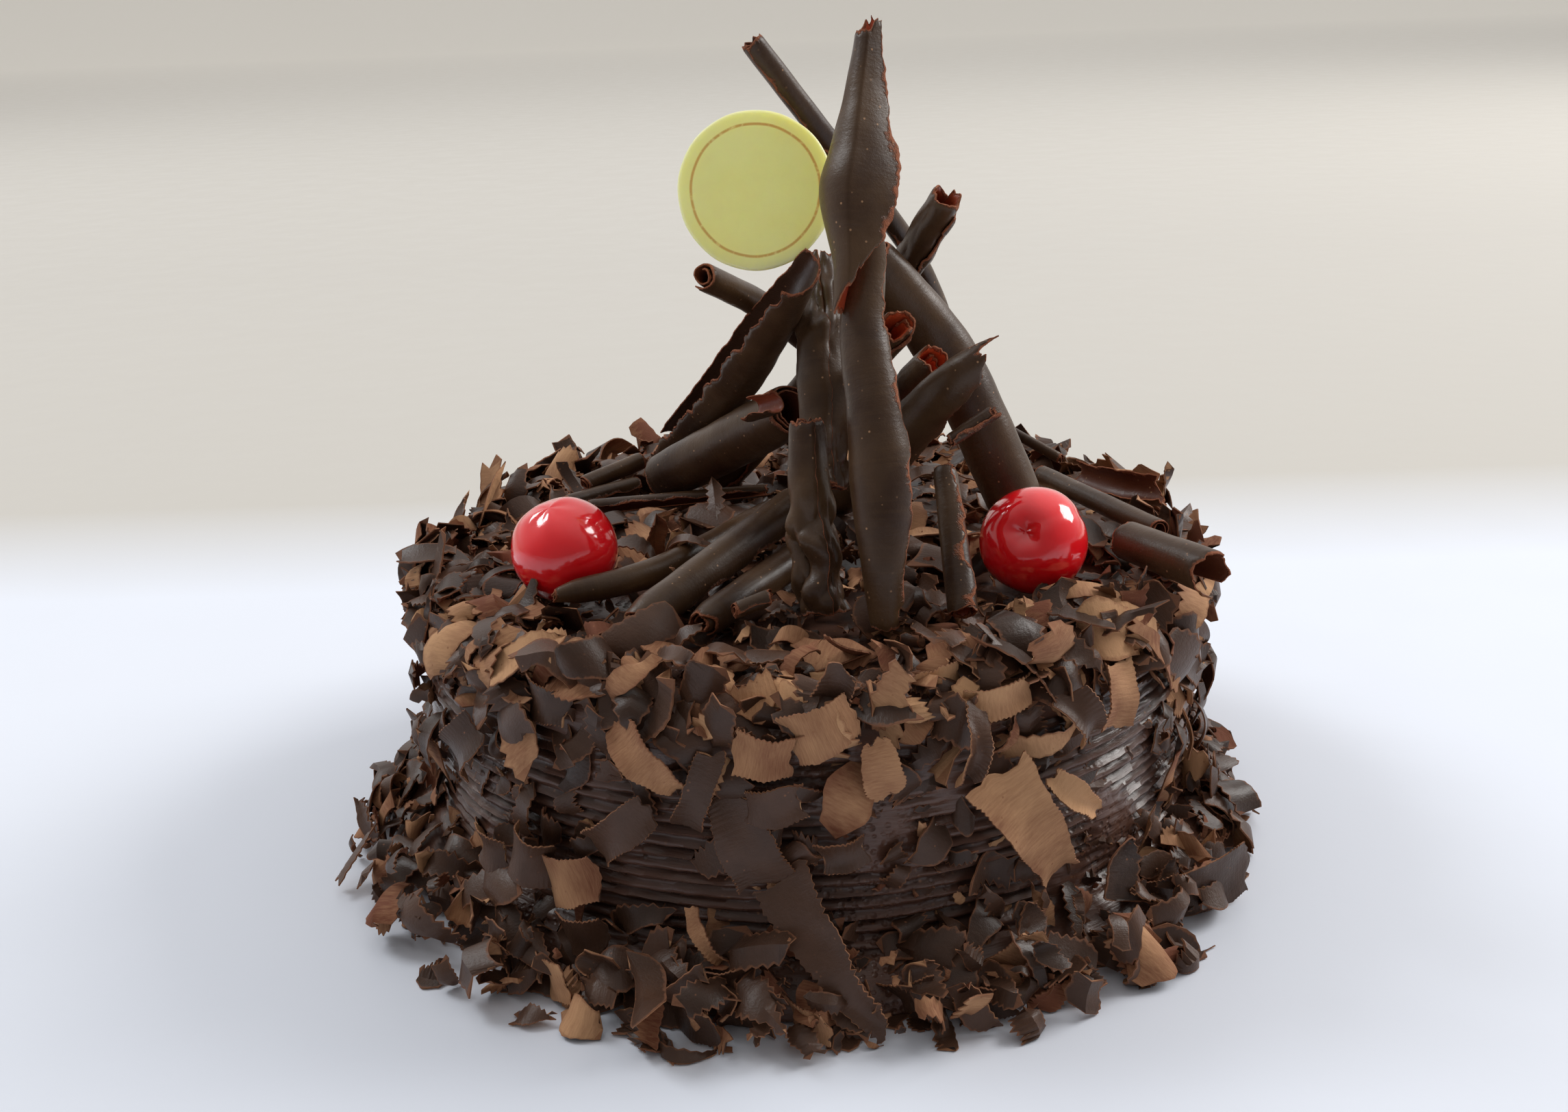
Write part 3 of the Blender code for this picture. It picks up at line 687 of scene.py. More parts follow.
@dataclass(frozen=True)
class CreamFinish:
    """Glossy dark chocolate cream, painted lighter on its ridges as highlight and darker in its
    grooves as shade, and pitted in its grooves.
    """

    deep: Colour = display(42, 26, 20)
    # Painted highlight colour of the comb's ridges; the grooves keep the deep colour as painted
    # shade
    ridge_highlight: Colour = display(98, 66, 52)
    crumb: Colour = display(124, 86, 60)

    def material(self) -> bpy.types.Material:
        """Join the nodes of this finish.

        Returns:
            The finish as a material.
        """
        book = NodeBook("chocolate_cream")
        # Ridges painted lighter and grooves darker: painted highlight and shade; the noise adds tone
        # at random
        level = book.reckon("ADD", book.ramp(book.mark("ridge_highlight"), 0.0, 1.0, 0.0, 0.6),
                            book.ramp(book.noise(60.0, 4.0), 0.3, 0.7, 0.0, 0.4))
        colour = book.blend(level, self.deep, self.ridge_highlight)
        speck = book.specks(520.0, (0.1, 0.2), 1.0, (45.0, 2.0), (0.5, 0.62))
        colour = book.blend(speck, colour, self.crumb)
        rough = book.ramp(book.noise(85.0, 5.0, 0.7), 0.35, 0.65, 0.2, 0.5)
        pits = book.ramp(book.cells(640.0), 0.0, 0.45)
        patch = book.ramp(book.noise(38.0, 2.0), 0.5, 0.62)
        holes = book.relief(book.reckon("MULTIPLY", pits, patch), 0.0007, 0.8)
        drawn = book.noise(1.0, 4.0, 0.6, book.stretch(book.place, (70.0, 70.0, 900.0)))
        drag = book.relief(drawn, 0.0005, 0.6, holes)
        book.fixed(Coat_Weight=0.15, Coat_Roughness=0.2, Specular_IOR_Level=0.4)
        return book.finish(colour, rough, drag)


@dataclass(frozen=True)
class CherryFinish:
    """Candied cherry under a clear glaze."""

    red: Colour = display(252, 26, 38)
    deep: Colour = display(214, 12, 24)

    def material(self) -> bpy.types.Material:
        """Join the nodes of this finish.

        Returns:
            The finish as a material.
        """
        book = NodeBook("glazed_cherry")
        share = book.reckon("MAXIMUM", book.ramp(book.noise(110.0, 3.0), 0.45, 0.85, 0.0, 0.5),
                            book.ramp(book.mark("hollow"), 0.1, 1.0, 0.0, 0.8))
        colour = book.blend(share, self.red, self.deep)
        rough = book.ramp(book.noise(300.0, 2.0), 0.3, 0.7, 0.10, 0.2)
        skin = book.relief(book.noise(210.0, 3.0, 0.5), 0.0006, 0.25)
        book.fixed(Coat_Weight=1.0, Coat_Roughness=0.04, Coat_IOR=1.45, Subsurface_Weight=0.5,
                   Subsurface_Scale=0.006)
        book.shader.inputs["Subsurface Radius"].default_value = (1.0, 0.15, 0.08)
        return book.finish(colour, rough, skin)


@dataclass(frozen=True)
class WhiteChocolateFinish:
    """White chocolate, with a thin printed gold ring in the disc's own plane."""

    pale: Colour = display(255, 247, 180)
    warm: Colour = display(248, 238, 166)
    gold: Colour = display(204, 168, 84)

    def material(self) -> bpy.types.Material:
        """Join the nodes of this finish.

        Returns:
            The finish as a material.
        """
        book = NodeBook("white_chocolate")
        cloud = book.noise(80.0, 3.0)
        colour = book.blend(book.ramp(cloud, 0.35, 0.7), self.pale, self.warm)
        worn = book.ramp(book.noise(900.0, 2.0), 0.28, 0.45, 0.35, 0.85)
        ink = book.reckon("MULTIPLY", book.mark("print"), worn)
        colour = book.blend(ink, colour, self.gold)
        rough = book.ramp(book.noise(200.0, 3.0), 0.3, 0.7, 0.34, 0.5)
        dents = book.relief(book.noise(90.0, 2.0), 0.0005, 0.25)
        pores = book.relief(book.noise(1300.0, 2.0, 0.6), 0.0001, 0.4, dents)
        book.fixed(Subsurface_Weight=1.0, Subsurface_Scale=0.006)
        book.shader.inputs["Subsurface Radius"].default_value = (1.0, 0.85, 0.4)
        return book.finish(colour, rough, pores)


@dataclass(frozen=True)
class FloorFinish:
    """A pale table top that turns from cool white near the cake to warm beige beyond."""

    near: Colour = display(226, 231, 242)
    beyond: Colour = display(196, 192, 185)
    far: Colour = display(240, 235, 224)

    def material(self) -> bpy.types.Material:
        """Join the nodes of this finish.

        Returns:
            The finish as a material.
        """
        book = NodeBook("table_top")
        back = book.part(book.place, "Y")
        colour = book.blend(book.ramp(back, 0.14, 0.24), self.near, self.beyond)
        colour = book.blend(book.ramp(back, 0.8, 6.0), colour, self.far)
        rough = book.ramp(book.noise(30.0), 0.3, 0.7, 0.45, 0.6)
        return book.finish(colour, rough, book.relief(book.noise(400.0), 0.0001, 0.2))


CLOSED = 10.0 / 9.0
TO_CAMERA = (0.0, -1.0, 0.25)
DOWN = (0.0, 0.3, -1.0)

# A sheet that turns further than this round its route also winds on inside itself
ROLLED_UP = 0.9
# The first row and column of a sheet lie this close to its edge, in millimetres
EDGE_STEP = 0.22
# The foot of a pinched roll widens over this length
PINCH_LENGTH = 6.0
# `facet` flattens a sheet's outer flap, this share of the sheet each way from its middle
FLAP = 0.17


@dataclass(frozen=True)
class RolledSheet:
    """One sheet of chocolate, rolled up or left half open, along the route of its node.

    The sheet runs round the route by `turns`, its middle opposite the facing side, and
    `wound` more turns lie inside. Its radius shrinks by `pitch` for each turn inwards.
    Slants and tears are what is cut from its ends and edges, the reds are how far the
    torn colour, partly painted glow through the thin edge, reaches from an edge, and
    `clear` is how far shavings keep off it.
    """

    node: str
    route: Sequence[Triple]
    radii: Sequence[float]
    turns: Sequence[float] = ()
    facing: Triple = TO_CAMERA
    wall: float = 0.85
    wound: float = 0.55
    pitch: float = 1.05
    crumple: float = 0.0
    oval: float = 0.03
    start_tear: float = 0.9
    end_tear: float = 0.9
    start_slant: Tuple[float, ...] = (0.0, 0.0)
    end_slant: Tuple[float, ...] = (0.0, 0.0)
    lip_tear: float = 0.7
    root_tear: float = 0.0
    red_lip: float = 0.8
    red_root: float = 0.4
    facet: float = 0.0
    pinch_start: float = 0.0
    # How far the inside is painted with glow, as of light through the thin sheet
    painted_glow: float = 0.3
    clear: float = 0.0
    seed: int = 1
    step: float = 0.62

    def stations(self, wanted: np.ndarray) -> Tuple[np.ndarray, ...]:
        """Read the route at shares of its length.

        Args:
            wanted: Shares from 0 at the foot to 1 at the tip.

        Returns:
            Centres, the facing and the side direction, radii and turns.
        """
        route = np.array(self.route, dtype=float)
        lengths = np.linalg.norm(np.diff(route, axis=0), axis=1)
        shares = np.concatenate([[0.0], np.cumsum(lengths)]) / lengths.sum()
        centres = curve_through(route, shares, wanted)
        radii = np.array(self.radii, dtype=float)[:, None]
        radii = curve_through(radii, shares, wanted)[:, 0]
        turns = np.interp(wanted, shares, self.turns or [CLOSED] * len(route))
        looks = np.tile(np.array(self.facing, dtype=float), (len(wanted), 1))
        tangent = unit(np.gradient(centres, axis=0))
        across = unit(looks - (looks * tangent).sum(1, keepdims=True) * tangent)
        return centres, across, np.cross(tangent, across), radii, turns

    def length(self) -> float:
        """Return the length of the route's chords."""
        steps = np.diff(np.array(self.route, dtype=float), axis=0)
        return float(np.linalg.norm(steps, axis=1).sum())

    def trimmed(self, share: np.ndarray, place_round: np.ndarray, along: np.ndarray) -> np.ndarray:
        """Shorten every row of the sheet by the slant and the tear of both its ends.

        Args:
            share: Shares round the sheet, one for each row.
            place_round: The same places, in millimetres.
            along: Shares along the route, one for each column.

        Returns:
            The share of the route at every grid point.
        """
        ends = ((self.start_slant, self.seed, self.start_tear),
                (self.end_slant, self.seed + 1, self.end_tear))
        start, end = (np.interp(share, np.linspace(0, 1, len(slant)), slant)
                      + ragged(place_round, seed, tear) for slant, seed, tear in ends)
        length = self.length()
        kept = 1.0 - (start + end) / length
        return np.clip((start / length)[:, None] + kept[:, None] * along[None], 0.0, 1.0)

    def unevenness(self, run: np.ndarray, angle: np.ndarray) -> np.ndarray:
        """Say how the radius is changed by creases, by the oval and by slow waves.

        The creases are folded sines round the roll, sharp in the hollows, which wander
        along it and come and go in knobs. The oval is a cosine of twice the angle.

        Args:
            run: Millimetres along the roll.
            angle: The angle round it.

        Returns:
            A factor for the radius.
        """
        phase = 1.7 * self.seed
        wander = 0.9 * np.sin(0.21 * run + phase) + 0.5 * np.sin(0.47 * run)
        twist = 1.6 * np.sin(0.31 * run + 2.1 * phase)
        knob = 0.55 + 0.75 * np.clip(np.sin(0.15 * run + phase), -0.6, 1.0)
        crease = self.crumple * knob * (
            1.4 * np.abs(np.sin(1.5 * angle + 0.03 * run + 1.3 * wander)) - 0.9
            + 0.9 * np.abs(np.sin(2.5 * angle - 0.05 * run + twist)) - 0.57
            + 0.6 * np.sin(0.55 * run + 1.7 * np.sin(angle + phase))
            + 0.5 * np.abs(np.sin(4.0 * angle + 0.9 * wander)) - 0.3
            + 0.35 * np.abs(np.sin(6.5 * angle + 0.3 * run + 0.8 * wander)) - 0.22)
        bend = self.oval * np.cos(2 * angle + 0.035 * run + phase)
        bend += 0.012 * np.sin(0.24 * run + 2 * angle + phase) + 0.008 * np.sin(0.6 * run - angle)
        return 1.0 + crease + bend

    def narrowing(self, run: np.ndarray, shares: np.ndarray, turning: np.ndarray) -> np.ndarray:
        """Say how the radius is drawn in: at a pinched foot, and where a flap is flat.

        Args:
            run: Millimetres along the roll.
            shares: Shares round the sheet.
            turning: How many turns the sheet makes there.

        Returns:
            A factor for the radius.
        """
        pinched = 1.0 - self.pinch_start * (1.0 - smooth_step(run, 0.0, PINCH_LENGTH))
        half = FLAP * TURN * turning
        away = np.clip((shares - (1.0 - FLAP)) * TURN * turning, -half, half)
        chord = np.cos(half) / np.cos(away)
        return pinched * (1.0 - self.facet * (1.0 - chord))

    def sheet(self) -> Sheets:
        """Work out the sheet's grid, around first and along second.

        A point is the centre plus the turned facing direction times the radius; the
        radius loses half a wall, then `pitch` for each turn back from the outer lip, and
        is creased by slow sines. Tears shorten the rows and columns at the borders.

        Returns:
            A batch of one sheet.
        """
        length = self.length()
        fine = np.linspace(0.0, 1.0, 241)
        centres, across, side, radii, turns = self.stations(fine)
        wound = self.wound if turns.max() > ROLLED_UP else 0.0
        around_length = TURN * max(self.radii) * (turns.max() + 0.6 * wound)
        columns = int(np.clip(length / self.step, 12, 260))
        rows = int(np.clip(around_length / self.step, 14, 150))
        along = eased_line(columns, EDGE_STEP / length)
        share = eased_line(rows, EDGE_STEP / around_length)
        place_round = (share * around_length)[:, None] * np.ones(columns)
        t = self.trimmed(share, share * around_length, along)

        def read(table: np.ndarray) -> np.ndarray:
            """Read a fine table at every grid point.

            Args:
                table: A row for each fine share of the route.

            Returns:
                Its values at the grid's shares.
            """
            if table.ndim == 1:
                return np.interp(t, fine, table)
            return np.stack([np.interp(t, fine, table[:, k]) for k in range(3)], axis=-1)

        radius, turning = read(radii), read(turns)
        run = t * length
        outer_cut = ragged(run, self.seed + 2, self.lip_tear) / (TURN * radius * turning)
        inner_cut = ragged(run, self.seed + 3, self.root_tear) / (TURN * radius * turning)
        first = -wound / turns.max() + inner_cut
        last = 1.0 - outer_cut
        shares = first + (last - first) * share[:, None]
        angle = math.pi + (shares - 0.5) * TURN * turning
        back = turning * (1.0 - shares)
        shrink = self.pitch * back * np.clip((turning + wound - ROLLED_UP) / 0.2, 0.0, 1.0)
        reach = (radius - shrink) * self.unevenness(run, angle)
        reach = np.maximum(reach * self.narrowing(run, shares, turning) - self.wall / 2, 0.25)
        ring = read(across) * np.cos(angle)[..., None] + read(side) * np.sin(angle)[..., None]
        middle = read(centres) + ring * reach[..., None]

        ones = np.ones_like(t)
        round_edge = np.minimum(share, 1.0 - share)[:, None] * around_length * ones
        along_edge = np.minimum(along, 1.0 - along)[None] * length * ones
        edge = np.minimum(round_edge, along_edge)
        lip = (1.0 - share[:, None]) * around_length
        root = share[:, None] * around_length
        # Where the torn colour is painted: partly the broken edge, partly painted glow through the
        # thin edge
        red = np.maximum(self.redness(along_edge, 0.8, place_round, 5),
                         self.redness(lip, self.red_lip, run, 6))
        red = np.maximum(red, self.redness(root, self.red_root, run, 7))
        wall = self.wall * (0.35 + 0.65 * smooth_step(edge, -0.05, 1.1))
        grain = np.stack([run, place_round, np.full_like(run, 10.0 * self.seed)], axis=-1)
        painted_glow, light_side = np.array([self.painted_glow]), np.array([0.0])
        return Sheets(middle[None], wall[None], red[None], painted_glow, grain[None], light_side)

    def redness(self, away: np.ndarray, reach: float, run: np.ndarray, shift: int) -> np.ndarray:
        """Fade from 1 at a torn edge to 0 at a distance that wanders along the edge.

        Args:
            away: Distance from the edge.
            reach: The mean distance that the redness reaches.
            run: Place along the edge.
            shift: Added to the seed.

        Returns:
            The redness at each point.
        """
        width = reach * np.maximum(1.0 + 0.8 * waves(run, self.seed + shift), 0.2)
        return np.clip(1.0 - away / width, 0.0, 1.0)

    def build(self, material: bpy.types.Material,
              more: Sequence["RolledSheet"] = ()) -> bpy.types.Object:
        """Make the sheet, with any others of the same node, and put it in its node's place.

        Args:
            material: The roll finish.
            more: Further sheets that belong to the same node.

        Returns:
            The new object.
        """
        parts = MeshParts.joined([sheet.sheet().shells() for sheet in (self, *more)])
        item = parts.make(f"{self.node}_rolled", material)
        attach(item, "root")
        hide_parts(self.node)
        LOG.info("%s: %d triangles", item.name, parts.count())
        return item


@dataclass(frozen=True)
class Rolls:
    """All the rolled sheets that stand and lie on the cake."""

    sheets: Tuple[RolledSheet, ...] = (
        RolledSheet("crumpled_roll_front",
                    [(3.3, -58, 66.6), (2, -54, 81), (1.2, -50, 93), (1.3, -46, 104.3)],
                    [5.4, 5.6, 5.0, 4.2], crumple=0.2, oval=0.12, end_tear=2.2, wound=0.1,
                    red_lip=0.15, seed=11),
        RolledSheet("crumpled_roll_back", [(5.2, -33, 84.6), (5.0, -17, 115), (5.6, -4, 130)],
                    [4.9, 5.4, 2.8], turns=[CLOSED, CLOSED, 0.9], crumple=0.15, oval=0.1,
                    wound=0.1, red_lip=0.15, seed=12),
        RolledSheet("open_curl",
                    [(1.2, -32, 132.3), (-9.4, -8, 113.7), (-22.3, 20, 91), (-34.5, 43, 73)],
                    [4.4, 7.0, 7.2, 6.0], turns=[0.6, 0.66, 0.74, 0.82], facing=(-0.5, -0.45, 0.8),
                    start_slant=(0.0, 1.0, 5.0), start_tear=0.8, lip_tear=1.6, root_tear=0.4,
                    painted_glow=0.2, seed=13),
        RolledSheet("thick_roll_left", [(-35, 21.6, 72.5), (-18.3, 6, 84.6), (-2.1, -14, 98.1)],
                    [6.2, 6.5, 6.2], facing=DOWN, wound=1.3, seed=14),
        RolledSheet("small_curl_left", [(-12.4, -18, 99.0), (-5.6, -25, 102.6)], [3.0, 2.8],
                    turns=[0.66] * 2, facing=(-0.3, -0.6, 0.6), wall=0.6, start_tear=1.8,
                    lip_tear=1.2, root_tear=1.2, painted_glow=0.5, seed=15),
        RolledSheet("slim_roll_left", [(-20.3, -15.5, 128.4), (-8.5, 4, 117.9), (30, 56, 69)],
                    [3.4, 3.6, 3.8], facing=(0, 0.4, -1), seed=16),
        RolledSheet("long_thin_roll",
                    [(-8.4, -10, 175.4), (8.4, 0, 152.3), (26.3, 17, 127), (46, 50, 69)],
                    [2.9, 3.0, 3.0, 3.5], facing=(0.3, -0.4, -1), wound=0.9, pitch=0.75, wall=0.6,
                    start_tear=1.6, seed=17),
        RolledSheet("folded_roll_right", [(33.9, -4, 142.3), (25.4, 5, 126.8), (-21, 24, 69.5)],
                    [4.7, 4.2, 4.0], turns=[0.95, CLOSED, CLOSED], facing=(0.5, -1, -0.6),
                    wound=0.45, crumple=0.05, oval=0.12, start_slant=(0.0, 0.5, 4.0),
                    start_tear=1.6, lip_tear=2.2, wall=1.0, painted_glow=0.6, seed=18),
        RolledSheet("thick_roll_right", [(16.2, -8, 130.5), (31.5, -4, 109.4), (48.6, -9, 73)],
                    [5.0, 6.8, 7.0], facing=(-1, 0.2, -0.3), wound=0.8, seed=19),
        RolledSheet("scroll_upper",
                    [(20.2, -39, 121.4), (16.6, -31.2, 114.5), (13.5, -23.5, 108.3)],
                    [4.4, 3.7, 3.2], facing=(0.6, -1, 0.3), wound=0.3, pitch=1.1, wall=1.1,
                    start_tear=3.4, lip_tear=2.0, red_lip=3.0, crumple=0.08, painted_glow=1.0, seed=20),
        RolledSheet("scroll_lower", [(29.6, -26, 111.0), (23.0, -16, 102.0), (17.0, -5, 93.4)],
                    [4.9, 4.2, 3.4], facing=(0.9, -0.7, 0.2), wound=0.3, pitch=1.2, wall=1.0,
                    start_slant=(4.0, 0.0, 2.0), start_tear=3.4, lip_tear=2.0, red_lip=3.0,
                    crumple=0.08, painted_glow=1.0, seed=21),
        RolledSheet("half_roll",
                    [(42.4, -37, 117.3), (34.6, -36, 110.4), (26.2, -29, 99.6), (11.4, -10, 78.3),
                     (4, 6, 70)], [1.5, 4.5, 5.8, 5.4, 5.0], turns=[0.4, 0.46, 0.5, 0.55, 0.6],
                    facing=(0.3, 1, -0.5), start_slant=(8.0, 1.0), start_tear=2.4, lip_tear=1.8,
                    root_tear=1.6, red_lip=2.6, painted_glow=0.5, seed=22),
        RolledSheet("thin_stick", [(40.4, -36, 102.1), (29.6, -40.8, 96.8)], [1.9, 1.7],
                    facing=(0.2, -1, 0.2), wall=0.5, pitch=0.55, wound=0.8, lip_tear=1.4,
                    red_lip=1.2, start_tear=2.0, seed=23),
        RolledSheet("leaning_roll", [(30.8, -63.2, 67.6), (29.1, -42, 91.7)], [3.7, 3.0],
                    facing=(0.7, -1, 0), wall=0.7, pitch=0.85, wound=0.7, lip_tear=2.4,
                    red_lip=2.2, painted_glow=0.7, seed=24),
        RolledSheet("thin_stick_back", [(53.0, 38, 77.0), (66.0, 33, 70.0)], [1.6, 1.6],
                    facing=DOWN, wall=0.45, pitch=0.55, wound=0.7, seed=25),
        RolledSheet("curled_sheet", [(66.3, 25, 69.5), (75.5, 9, 70.4), (85.8, 1.5, 71.2)],
                    [3.6, 4.2, 4.0], turns=[0.62, 0.62, 0.58], facing=(-0.3, -0.8, 1),
                    end_slant=(0.0, 1.0, 4.0), end_tear=2.0, lip_tear=1.2, root_tear=1.0,
                    red_lip=1.2, clear=3.5, seed=26),
        RolledSheet("long_roll_right", [(57.8, 18, 71.3), (77.2, -28.5, 71.6)], [2.5, 2.8],
                    facing=DOWN, wall=0.5, pitch=0.65, wound=0.9, clear=3.0, seed=27),
        RolledSheet("wide_roll_right", [(68.4, -32, 71.3), (82.0, -54.5, 70.9)], [4.3, 5.1],
                    turns=[0.9, 0.72], facing=(0.6, -0.9, -0.8), end_tear=1.8, lip_tear=1.4,
                    clear=2.0, seed=28),
        RolledSheet("slim_roll_front", [(-52.6, -50, 69.4), (-40.0, -44, 69.6), (-6.8, 4.3, 69)],
                    [2.6, 3.1, 3.1], facing=(0.3, -0.5, -1), wall=0.6, pitch=0.75, wound=0.8,
                    pinch_start=0.4, seed=29),
        RolledSheet("thick_roll_front", [(-34.8, -63.4, 67.6), (-1.4, -20, 78.2)], [4.5, 4.7],
                    facing=(0.5, -1, -0.6), start_slant=(3.0, 0.0, 1.0), start_tear=2.0,
                    lip_tear=1.8, red_lip=1.4, wound=1.2, pinch_start=0.25, seed=30),
        RolledSheet("short_roll_front", [(-22.2, -63.6, 67.2), (-1.8, -32, 69.9)], [4.0, 4.1],
                    facing=(0.5, -0.4, -1), start_slant=(2.5, 0.0, 1.0), start_tear=1.8,
                    lip_tear=1.6, wound=1.1, pinch_start=0.25, seed=31),
        RolledSheet("tiny_roll_front", [(-14.9, -65, 70.4), (-6.4, -62, 72.4)], [2.0, 2.1],
                    facing=(0.4, -1, 0), wall=0.5, pitch=0.6, wound=0.9, end_tear=2.2,
                    lip_tear=1.2, seed=32),
        RolledSheet("thin_curl_left", [(-52.6, 9.2, 69), (-8.4, 9.4, 72)], [2.0, 1.6],
                    turns=[0.8, 0.9], facing=(0, -1, -0.4), wall=0.5, lip_tear=0.9, start_tear=1.4,
                    seed=33),
        RolledSheet("rim_roll_lower", [(-58.5, 13.4, 68.6), (-42.0, 27.0, 68.6)], [2.6, 2.8],
                    wall=0.55, pitch=0.7, wound=0.9, seed=34),
        RolledSheet("rim_roll_upper", [(-55.0, 21.5, 71.3), (-40.8, 33.8, 73.6)], [2.4, 2.6],
                    facing=DOWN, wall=0.5, pitch=0.65, wound=0.9, seed=35),
    )
    stem: RolledSheet = RolledSheet(
        "tall_curl",
        [(15, -65.5, 66), (15.2, -61.5, 82), (15.2, -57, 93), (14.3, -50.5, 108),
         (12.8, -43.0, 123), (14.3, -39.0, 133), (13.9, -37.0, 142)],
        [3.4, 5.7, 6.9, 6.2, 5.2, 4.2, 3.6], facing=(0.85, -0.8, 0), lip_tear=2.0, red_lip=1.7,
        wound=0.4, seed=41)
    leaf: RolledSheet = RolledSheet(
        "tall_curl",
        [(9.8, -48, 124.0), (11.7, -45, 133.0), (12.7, -41, 139.2), (13.2, -37, 146.5),
         (14.1, -33.5, 154.5), (14.8, -30, 164.0), (15.7, -27, 173.0), (16.3, -25, 180.5)],
        [3.2, 4.7, 6.8, 8.5, 7.2, 4.9, 3.5, 2.7],
        turns=[0.66, 0.68, 0.70, 0.72, 0.74, 0.76, 0.8, 0.8], facing=(0.86, 0.5, 0),
        start_slant=(0.0, 1.0, 14.0), end_slant=(0.0, 4.5, 1.0), start_tear=1.6, end_tear=1.4,
        lip_tear=1.0, root_tear=1.1, red_lip=3.0, red_root=0.8, facet=0.85, painted_glow=0.9, step=0.45,
        wall=0.7, seed=42)

    def build(self, material: bpy.types.Material) -> None:
        """Make every roll.

        Args:
            material: The roll finish.
        """
        self.stem.build(material, [self.leaf])
        for sheet in self.sheets:
            sheet.build(material)

    def guard_balls(self) -> Tuple[np.ndarray, np.ndarray]:
        """String balls along every roll, for the shavings to keep clear of.

        Returns:
            Their centres and radii.
        """
        shares = np.linspace(0.0, 1.0, 24)
        every = (*self.sheets, self.stem, self.leaf)
        stations = [sheet.stations(shares) for sheet in every]
        reach = [station[3] + sheet.clear for sheet, station in zip(every, stations)]
        return np.concatenate([station[0] for station in stations]), np.concatenate(reach)


class Zone(Enum):
    """Where on the cake a field of shavings lies."""

    TOP = "top"
    RIM = "rim"
    SIDE = "side"
    FOOT = "foot"


CAKE_RADIUS = 90.5
CAKE_TOP = 61.0
SHOULDER = 9.0
FOOT_RADIUS = 100.0
FOOT_HEIGHT = 12.0
GOLDEN = math.pi * (3.0 - math.sqrt(5.0))

# How far from the axis shavings may reach to the right and left, to the front and to the back
REACH_SIDEWAYS = 108.4
REACH_FRONT = 113.2
REACH_BACK = 107.0
# The turn, in radians, at which the heap round the foot is widest
HEAP_TURN = -1.86
# How deep a shaving's low points sink, how far it may cut into a roll, and its height
# over the table
SINK = 0.6
OVERLAP = 0.4
OVER_TABLE = 0.35


